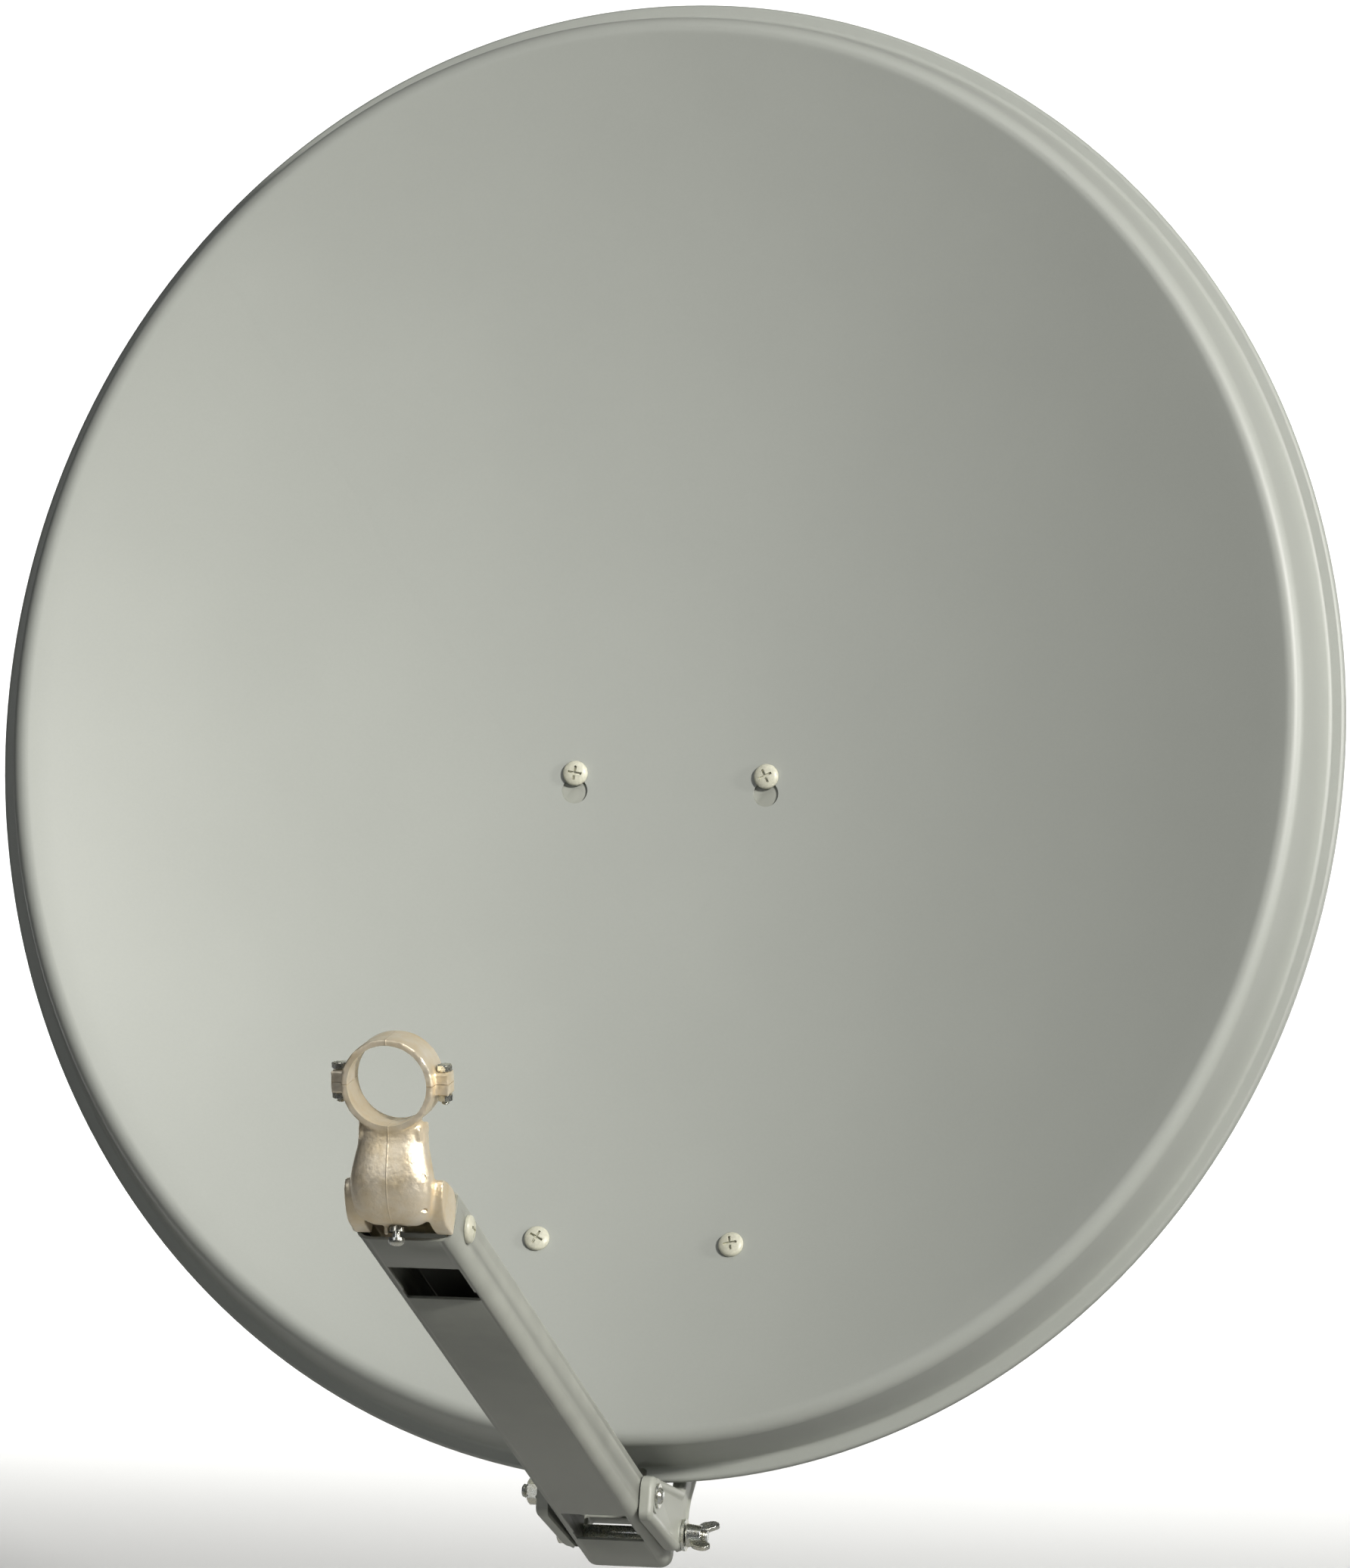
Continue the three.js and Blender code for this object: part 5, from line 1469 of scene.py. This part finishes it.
def elevation_fasteners():
    """The pivot through the head's cheeks, and the bolts that ride on the ears."""
    play = 0.8  # between an ear and the head's cheek
    head = EAR + SHEET_STEEL + play + HEAD_PLATE
    seat = head + GAP
    bolt = {"elevation_pivot_bolt": ((seat, HEAD_PIVOT, 0), (-1, 0, 0), 22)}
    nut = {"elevation_pivot_nut": ((-seat, HEAD_PIVOT, 0), (-1, 0, 0), 3)}
    low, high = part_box("elevation_lock_bolt_right")
    centre = Vector((0, low.y + high.y, low.z + high.z)) * 500
    _, y, z = frames()["dish"].inverted() @ centre
    inner, over = EAR - GAP, seat + GAP + WASHER
    locks = pair("elevation_lock_bolt", lambda side: ((side * inner, y, z), (side, 0, 0), 10))
    washers = pair("elevation_lock_washer", lambda side: ((side * seat, y, z), (side, 0, 0), 0))
    nuts = pair("elevation_lock_nut", lambda side: ((side * over, y, z), (side, 0, 0), 17))
    pivot_sizes = m8_bolt(2 * seat + THREAD_END, 16)
    lock_sizes = m8_bolt(head - EAR + 3 * GAP + WASHER + THREAD_END, 12)
    return [
        ("elevation_pivot_bolt_hex", "bolt", pivot_sizes, "mast", "mast_clamp", bolt),
        ("elevation_pivot_nut_hex", "nut", M8_NUT, "mast", "mast_clamp", nut),
        ("elevation_lock_bolts", "bolt", lock_sizes, "dish", "dish", locks),
        ("elevation_lock_washers", "washer", M8_WASHER, "dish", "dish", washers),
        ("elevation_lock_nuts", "nut", M8_NUT, "dish", "dish", nuts),
    ]


def fastened(name, tree, sizes, frame_name, body, places, slot, material):
    """One mesh of like fasteners, on the places that a row gives."""
    place = frames()[frame_name]
    rotation = place.to_3x3()
    mesh = bpy.data.meshes.new(name)
    mesh.from_pydata([(place @ Vector(p)) * 0.001 for p, _, _ in places.values()], [], [])
    mesh.attributes.new("axis", "FLOAT_VECTOR", "POINT")
    mesh.attributes.new("turn", "FLOAT", "POINT")
    for i, (_, direction, degrees) in enumerate(places.values()):
        axis = (rotation @ Vector(direction)).normalized()
        mesh.attributes["axis"].data[i].vector = axis
        mesh.attributes["turn"].data[i].value = math.radians(degrees)
    obj = link(name, mesh)
    run_tree(obj, tree, {**{k: v * 0.001 for k, v in sizes.items()}, "Material": material})
    tidy(obj, 0.0, 32)
    return place_piece(obj, body, slot, material, *places)


class DISH_OT_fasteners(bpy.types.Operator):
    """Build every screw, bolt, washer and nut on its seat"""

    bl_idname = "dish.fasteners"
    bl_label = "Screws, bolts and nuts"

    def execute(self, context):
        trees = {
            "bolt": hex_bolt_tree(),
            "nut": hex_nut_tree(),
            "washer": washer_tree(),
            "screw": pan_screw_tree(),
        }
        zinc, cream = ("zinc_plate", zinc_plate()), ("screw_paint", cream_enamel())
        for rows in (
            face_fasteners,
            bracket_fasteners,
            arm_fasteners,
            holder_fasteners,
            ring_fasteners,
            mast_fasteners,
            elevation_fasteners,
        ):
            for name, kind, *rest in rows():
                coat = cream if name in ENAMELLED else zinc
                fastened(name, trees[kind], *rest, *coat)
        return {"FINISHED"}


# ---------------------------------------------------------------- finishes


def linear(value):
    """An sRGB hex colour as linear RGBA."""
    channels = [int(value[i : i + 2], 16) / 255 for i in (0, 2, 4)]
    return (*(c / 12.92 if c <= 0.04045 else ((c + 0.055) / 1.055) ** 2.4 for c in channels), 1.0)


def finish(name):
    """A new finish, its shader, its coordinates in metres, or the one made already."""
    material = bpy.data.materials.get(name)
    if material:
        return material, None, None, None
    material = bpy.data.materials.new(name)
    material.use_nodes = True
    tree = material.node_tree
    shader = next(n for n in tree.nodes if n.type == "BSDF_PRINCIPLED")
    spot = add(tree, "ShaderNodeTexCoord").outputs["Object"]
    return material, tree, shader, spot


MOST = (0.3, 0.7)  # where most of a noise's values lie


def per_metre(size):
    """The scale of a noise whose features are about a size in mm."""
    return 1000.0 / size


def tinted(tree, factor, dark, light):
    """A colour between two, by a noise."""
    ramp = add(tree, "ShaderNodeMapRange", factor, *MOST, 0.0, 1.0)
    mix = add(tree, "ShaderNodeMix", {0: ramp, 6: dark, 7: light}, data_type="RGBA")
    return mix.outputs[2]


def shade(value, gain):
    """A linear colour made lighter or darker."""
    return (*(min(1.0, c * gain) for c in value[:3]), 1.0)


def baked_paint():
    """Polyester paint baked on pressed sheet: satin, with a fine orange peel and a little dust."""
    material, tree, shader, spot = finish("baked_grey_paint")
    if tree is None:
        return material
    base = linear(settings().dish_finishes.reflector)
    cloudy = add(
        tree,
        "ShaderNodeTexNoise",
        {"Vector": spot, "Scale": per_metre(90), "Detail": 4.0},
    )
    speck = add(
        tree,
        "ShaderNodeTexNoise",
        {"Vector": spot, "Scale": per_metre(1.6), "Detail": 2.0},
    )
    both = add(tree, "ShaderNodeMix", {0: 0.4, 2: cloudy, 3: speck}, data_type="FLOAT")
    values = {
        "Base Color": tinted(tree, both, shade(base, 0.97), shade(base, 1.02)),
        "Roughness": add(tree, "ShaderNodeMapRange", cloudy, *MOST, 0.44, 0.47),
        "IOR": 1.56,
        "Normal": add(
            tree, "ShaderNodeBump", {"Height": speck, "Distance": 0.00002, "Strength": 0.6}
        ),
    }
    feed(shader, values)
    return material


def powder_coat(name, value):
    """Powder coat on steel pressings: a coarser orange peel than baked paint, and duller."""
    material, tree, shader, spot = finish(name)
    if tree is None:
        return material
    base = linear(value)
    peel = add(tree, "ShaderNodeTexNoise", {"Vector": spot, "Scale": per_metre(2.2), "Detail": 2.0})
    cloudy = add(
        tree,
        "ShaderNodeTexNoise",
        {"Vector": spot, "Scale": per_metre(30), "Detail": 4.0},
    )
    values = {
        "Base Color": tinted(tree, cloudy, shade(base, 0.9), shade(base, 1.06)),
        "Roughness": add(tree, "ShaderNodeMapRange", cloudy, *MOST, 0.38, 0.5),
        "IOR": 1.5,
        "Normal": add(
            tree, "ShaderNodeBump", {"Height": peel, "Distance": 0.00005, "Strength": 0.6}
        ),
    }
    feed(shader, values)
    return material


def cream_enamel():
    """Enamel on the screw heads: smooth and a little yellow, with faint wear."""
    material, tree, shader, spot = finish("cream_enamel")
    if tree is None:
        return material
    base = linear(settings().dish_finishes.screws)
    worn = add(tree, "ShaderNodeTexNoise", {"Vector": spot, "Scale": per_metre(1.2), "Detail": 4.0})
    values = {
        "Base Color": tinted(tree, worn, shade(base, 0.86), shade(base, 1.04)),
        "Roughness": add(tree, "ShaderNodeMapRange", worn, *MOST, 0.3, 0.42),
        "IOR": 1.5,
        "Normal": add(
            tree, "ShaderNodeBump", {"Height": worn, "Distance": 0.00003, "Strength": 0.4}
        ),
    }
    feed(shader, values)
    return material


def die_casting():
    """Bare pressure die-casting: a mottled bright skin with flow marks, patches of painted warm
    reflection and a parting line.

    Its dull cast skin scatters more than bare metal, so it isn't fully metallic.
    """
    material, tree, shader, spot = finish("die_cast_aluminium")
    if tree is None:
        return material
    base = linear(settings().dish_finishes.casting)
    mottle = add(
        tree,
        "ShaderNodeTexNoise",
        {"Vector": spot, "Scale": per_metre(2.4), "Detail": 5.0},
    )
    # patches of this noise tint the skin warm: flow marks, and painted golden reflections
    flow_and_painted_reflection = add(tree, "ShaderNodeTexNoise", {"Vector": spot, "Scale": per_metre(16), "Detail": 6.0})
    warm = (base[0] * 0.88, base[1] * 0.79, base[2] * 0.62, 1.0)
    # the dies part on the middle plane, which leaves a raised line half a millimetre wide
    off_middle = add(tree, "ABSOLUTE", add(tree, "ShaderNodeSeparateXYZ", spot))
    line = add(tree, "ShaderNodeMapRange", off_middle, 0.0001, 0.0005, 1.0, 0.0)
    height = add(tree, "MULTIPLY_ADD", line, 0.5, mottle)
    values = {
        "Base Color": tinted(tree, flow_and_painted_reflection, warm, base),
        "Metallic": 0.66,
        "Roughness": add(tree, "ShaderNodeMapRange", mottle, *MOST, 0.3, 0.52),
        "Normal": add(
            tree, "ShaderNodeBump", {"Height": height, "Distance": 0.0003, "Strength": 0.9}
        ),
    }
    feed(shader, values)
    return material


def zinc_plate():
    """Bright zinc plate with a clear passivate: faint bands of yellow and blue."""
    material, tree, shader, spot = finish("bright_zinc_plate")
    if tree is None:
        return material
    base = linear(settings().dish_finishes.zinc)
    bands = add(tree, "ShaderNodeTexNoise", {"Vector": spot, "Scale": per_metre(5), "Detail": 2.0})
    fine = add(tree, "ShaderNodeTexNoise", {"Vector": spot, "Scale": per_metre(0.8), "Detail": 3.0})
    warm = (base[0], base[1] * 0.96, base[2] * 0.84, 1.0)
    cool = (base[0] * 0.94, base[1] * 0.98, min(1.0, base[2] * 1.04), 1.0)
    values = {
        "Base Color": tinted(tree, bands, warm, cool),
        "Metallic": 1.0,
        "Roughness": add(tree, "ShaderNodeMapRange", fine, *MOST, 0.2, 0.36),
        "Normal": add(
            tree, "ShaderNodeBump", {"Height": fine, "Distance": 0.00002, "Strength": 0.5}
        ),
    }
    feed(shader, values)
    return material


def pale_floor():
    """Matt studio board."""
    material, tree, shader, spot = finish("matt_studio_board")
    if tree is None:
        return material
    base = linear(settings().dish_finishes.floor)
    cloudy = add(
        tree,
        "ShaderNodeTexNoise",
        {"Vector": spot, "Scale": per_metre(400), "Detail": 2.0},
    )
    feed(shader, {"Base Color": tinted(tree, cloudy, shade(base, 0.985), base), "Roughness": 0.9})
    return material


# ---------------------------------------------------------------- stage


# name, place, aim, power in watts, width in metres, spread in degrees, tint
LAMPS = (
    ("key", (3.5, -3.5, 2.3), (-0.3, -0.2, 0.1), 15.0, 0.45, 40.0, (1.0, 0.98, 0.94)),
    ("side", (4.6, -1.2, 1.0), (0, -0.2, 0.1), 4.0, 0.5, 40.0, (1.0, 0.99, 0.95)),
    ("front", (-1.4, -4.8, 1.5), (0.15, -0.2, 0.1), 2.2, 1.8, 60.0, (0.96, 0.98, 1.0)),
    ("overhead", (0.4, -1.9, 3.0), (0, -0.3, 0.0), 2.4, 1.8, 60.0, (1.0, 1.0, 1.0)),
    ("backdrop_left", (-2.8, 1.6, 2.6), (-0.8, 5.6, 0.1), 340.0, 1.4, 110.0, (1.0, 1.0, 1.0)),
    ("backdrop_right", (2.8, 1.6, 2.6), (-0.2, 4.8, -0.1), 225.0, 1.4, 110.0, (1.0, 1.0, 1.0)),
)


class DISH_OT_stage(bpy.types.Operator):
    """Build the pale floor, the soft lights and the camera"""

    bl_idname = "dish.stage"
    bl_label = "Stage"

    def execute(self, context):
        scene = context.scene
        floor = self.sweep(mm(scene.dish_stage.floor))
        floor.data.materials.append(pale_floor())
        for name, spot, aim, *rest in LAMPS:
            self.lamp(name, Vector(spot), Vector(aim), *rest)
        world = bpy.data.worlds.new("studio")
        world.use_nodes = True
        sky = world.node_tree.nodes["Background"]
        sky.inputs["Color"].default_value = (0.93, 0.96, 1.0, 1.0)
        sky.inputs["Strength"].default_value = scene.dish_stage.ambient
        scene.world = world
        scene.view_settings.view_transform = "Standard"
        self.camera(scene)
        return {"FINISHED"}

    def sweep(self, level):
        """A floor that curves up into a backdrop."""
        near, far, radius, top, half = -12000, 8000, 2500, 9000, 12000  # mm
        profile = [(near, level - 40), (near, level)]
        for k in range(25):
            t = math.pi / 2 * k / 24
            y = far - radius + radius * math.sin(t)
            profile.append((y, level + radius * (1 - math.cos(t))))
        profile += [(far, top), (far + 40, top), (far + 40, level - 40)]
        loops = [[(x, y, z) for y, z in profile] for x in (-half, half)]
        return skin("floor_and_backdrop", loops, Matrix())

    def lamp(self, name, spot, aim, power, width, spread, tint):
        """A square soft light."""
        data = bpy.data.lights.new(name, "AREA")
        data.energy, data.size, data.color = power, width, tint
        data.spread = math.radians(spread)
        lamp = bpy.data.objects.new(name, data)
        lamp.location = spot
        lamp.rotation_mode = "QUATERNION"
        lamp.rotation_quaternion = (aim - spot).to_track_quat("-Z", "Y")
        bpy.context.scene.collection.objects.link(lamp)

    def camera(self, scene):
        """A long lens in front of the reflector, by angles off its rim plane's normal."""
        azimuth, elevation, roll = (math.radians(a) for a in (12.639, -8.211, 2.826))
        dish = frames()["dish"]
        out = Vector(
            (
                math.sin(azimuth) * math.cos(elevation),
                -math.cos(azimuth) * math.cos(elevation),
                math.sin(elevation),
            )
        )
        right = Vector((math.cos(azimuth), math.sin(azimuth), 0))
        up = Vector(
            (
                -math.sin(azimuth) * math.sin(elevation),
                math.cos(azimuth) * math.sin(elevation),
                math.cos(elevation),
            )
        )
        level_right = right * math.cos(roll) + up * math.sin(roll)
        level_up = up * math.cos(roll) - right * math.sin(roll)
        target = Vector((19.27, 0, -36.02))  # on the rim plane
        spot = dish @ (target + out * mm(scene.dish_stage.distance))
        turn = dish.to_3x3()
        axes = Matrix((turn @ level_right, turn @ level_up, turn @ out)).transposed()
        data = bpy.data.cameras.new("camera")
        data.lens = scene.dish_stage.lens
        data.sensor_width = 36.0
        data.sensor_fit = "HORIZONTAL"
        data.clip_end = 200.0
        camera = bpy.data.objects.new("camera", data)
        camera.matrix_world = Matrix.Translation(spot * 0.001) @ axes.to_4x4()
        scene.collection.objects.link(camera)
        scene.camera = camera


# ---------------------------------------------------------------- panel and registration


STEPS = (
    DISH_OT_reflector,
    DISH_OT_pressings,
    DISH_OT_bracket,
    DISH_OT_arm,
    DISH_OT_holder,
    DISH_OT_clamp_cap,
    DISH_OT_wing_nut,
    DISH_OT_fasteners,
    DISH_OT_stage,
)
GROUPS = {
    "dish_reflector": ReflectorSizes,
    "dish_arm": ArmSizes,
    "dish_holder": HolderSizes,
    "dish_finishes": Finishes,
    "dish_stage": StageSizes,
}


class DISH_PT_panel(bpy.types.Panel):
    """Sizes, colours and steps of the dish"""

    bl_idname = "DISH_PT_panel"
    bl_label = "Satellite dish"
    bl_space_type = "VIEW_3D"
    bl_region_type = "UI"
    bl_category = "Dish"

    def draw(self, context):
        for name in GROUPS:
            group = getattr(context.scene, name)
            column = self.layout.column(align=True)
            for prop in group.bl_rna.properties:
                if prop.identifier not in ("rna_type", "name"):
                    column.prop(group, prop.identifier)
        for step in STEPS:
            self.layout.operator(step.bl_idname)


def register():
    for group in (*GROUPS.values(), *STEPS, DISH_PT_panel):
        bpy.utils.register_class(group)
    for name, group in GROUPS.items():
        setattr(bpy.types.Scene, name, PointerProperty(type=group))


def unregister():
    for name in GROUPS:
        delattr(bpy.types.Scene, name)
    for group in (DISH_PT_panel, *STEPS[::-1], *GROUPS.values()):
        bpy.utils.unregister_class(group)


def main():
    register()
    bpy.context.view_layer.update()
    for step in STEPS:
        area, name = step.bl_idname.split(".")
        getattr(getattr(bpy.ops, area), name)()


if __name__ == "__main__":
    main()
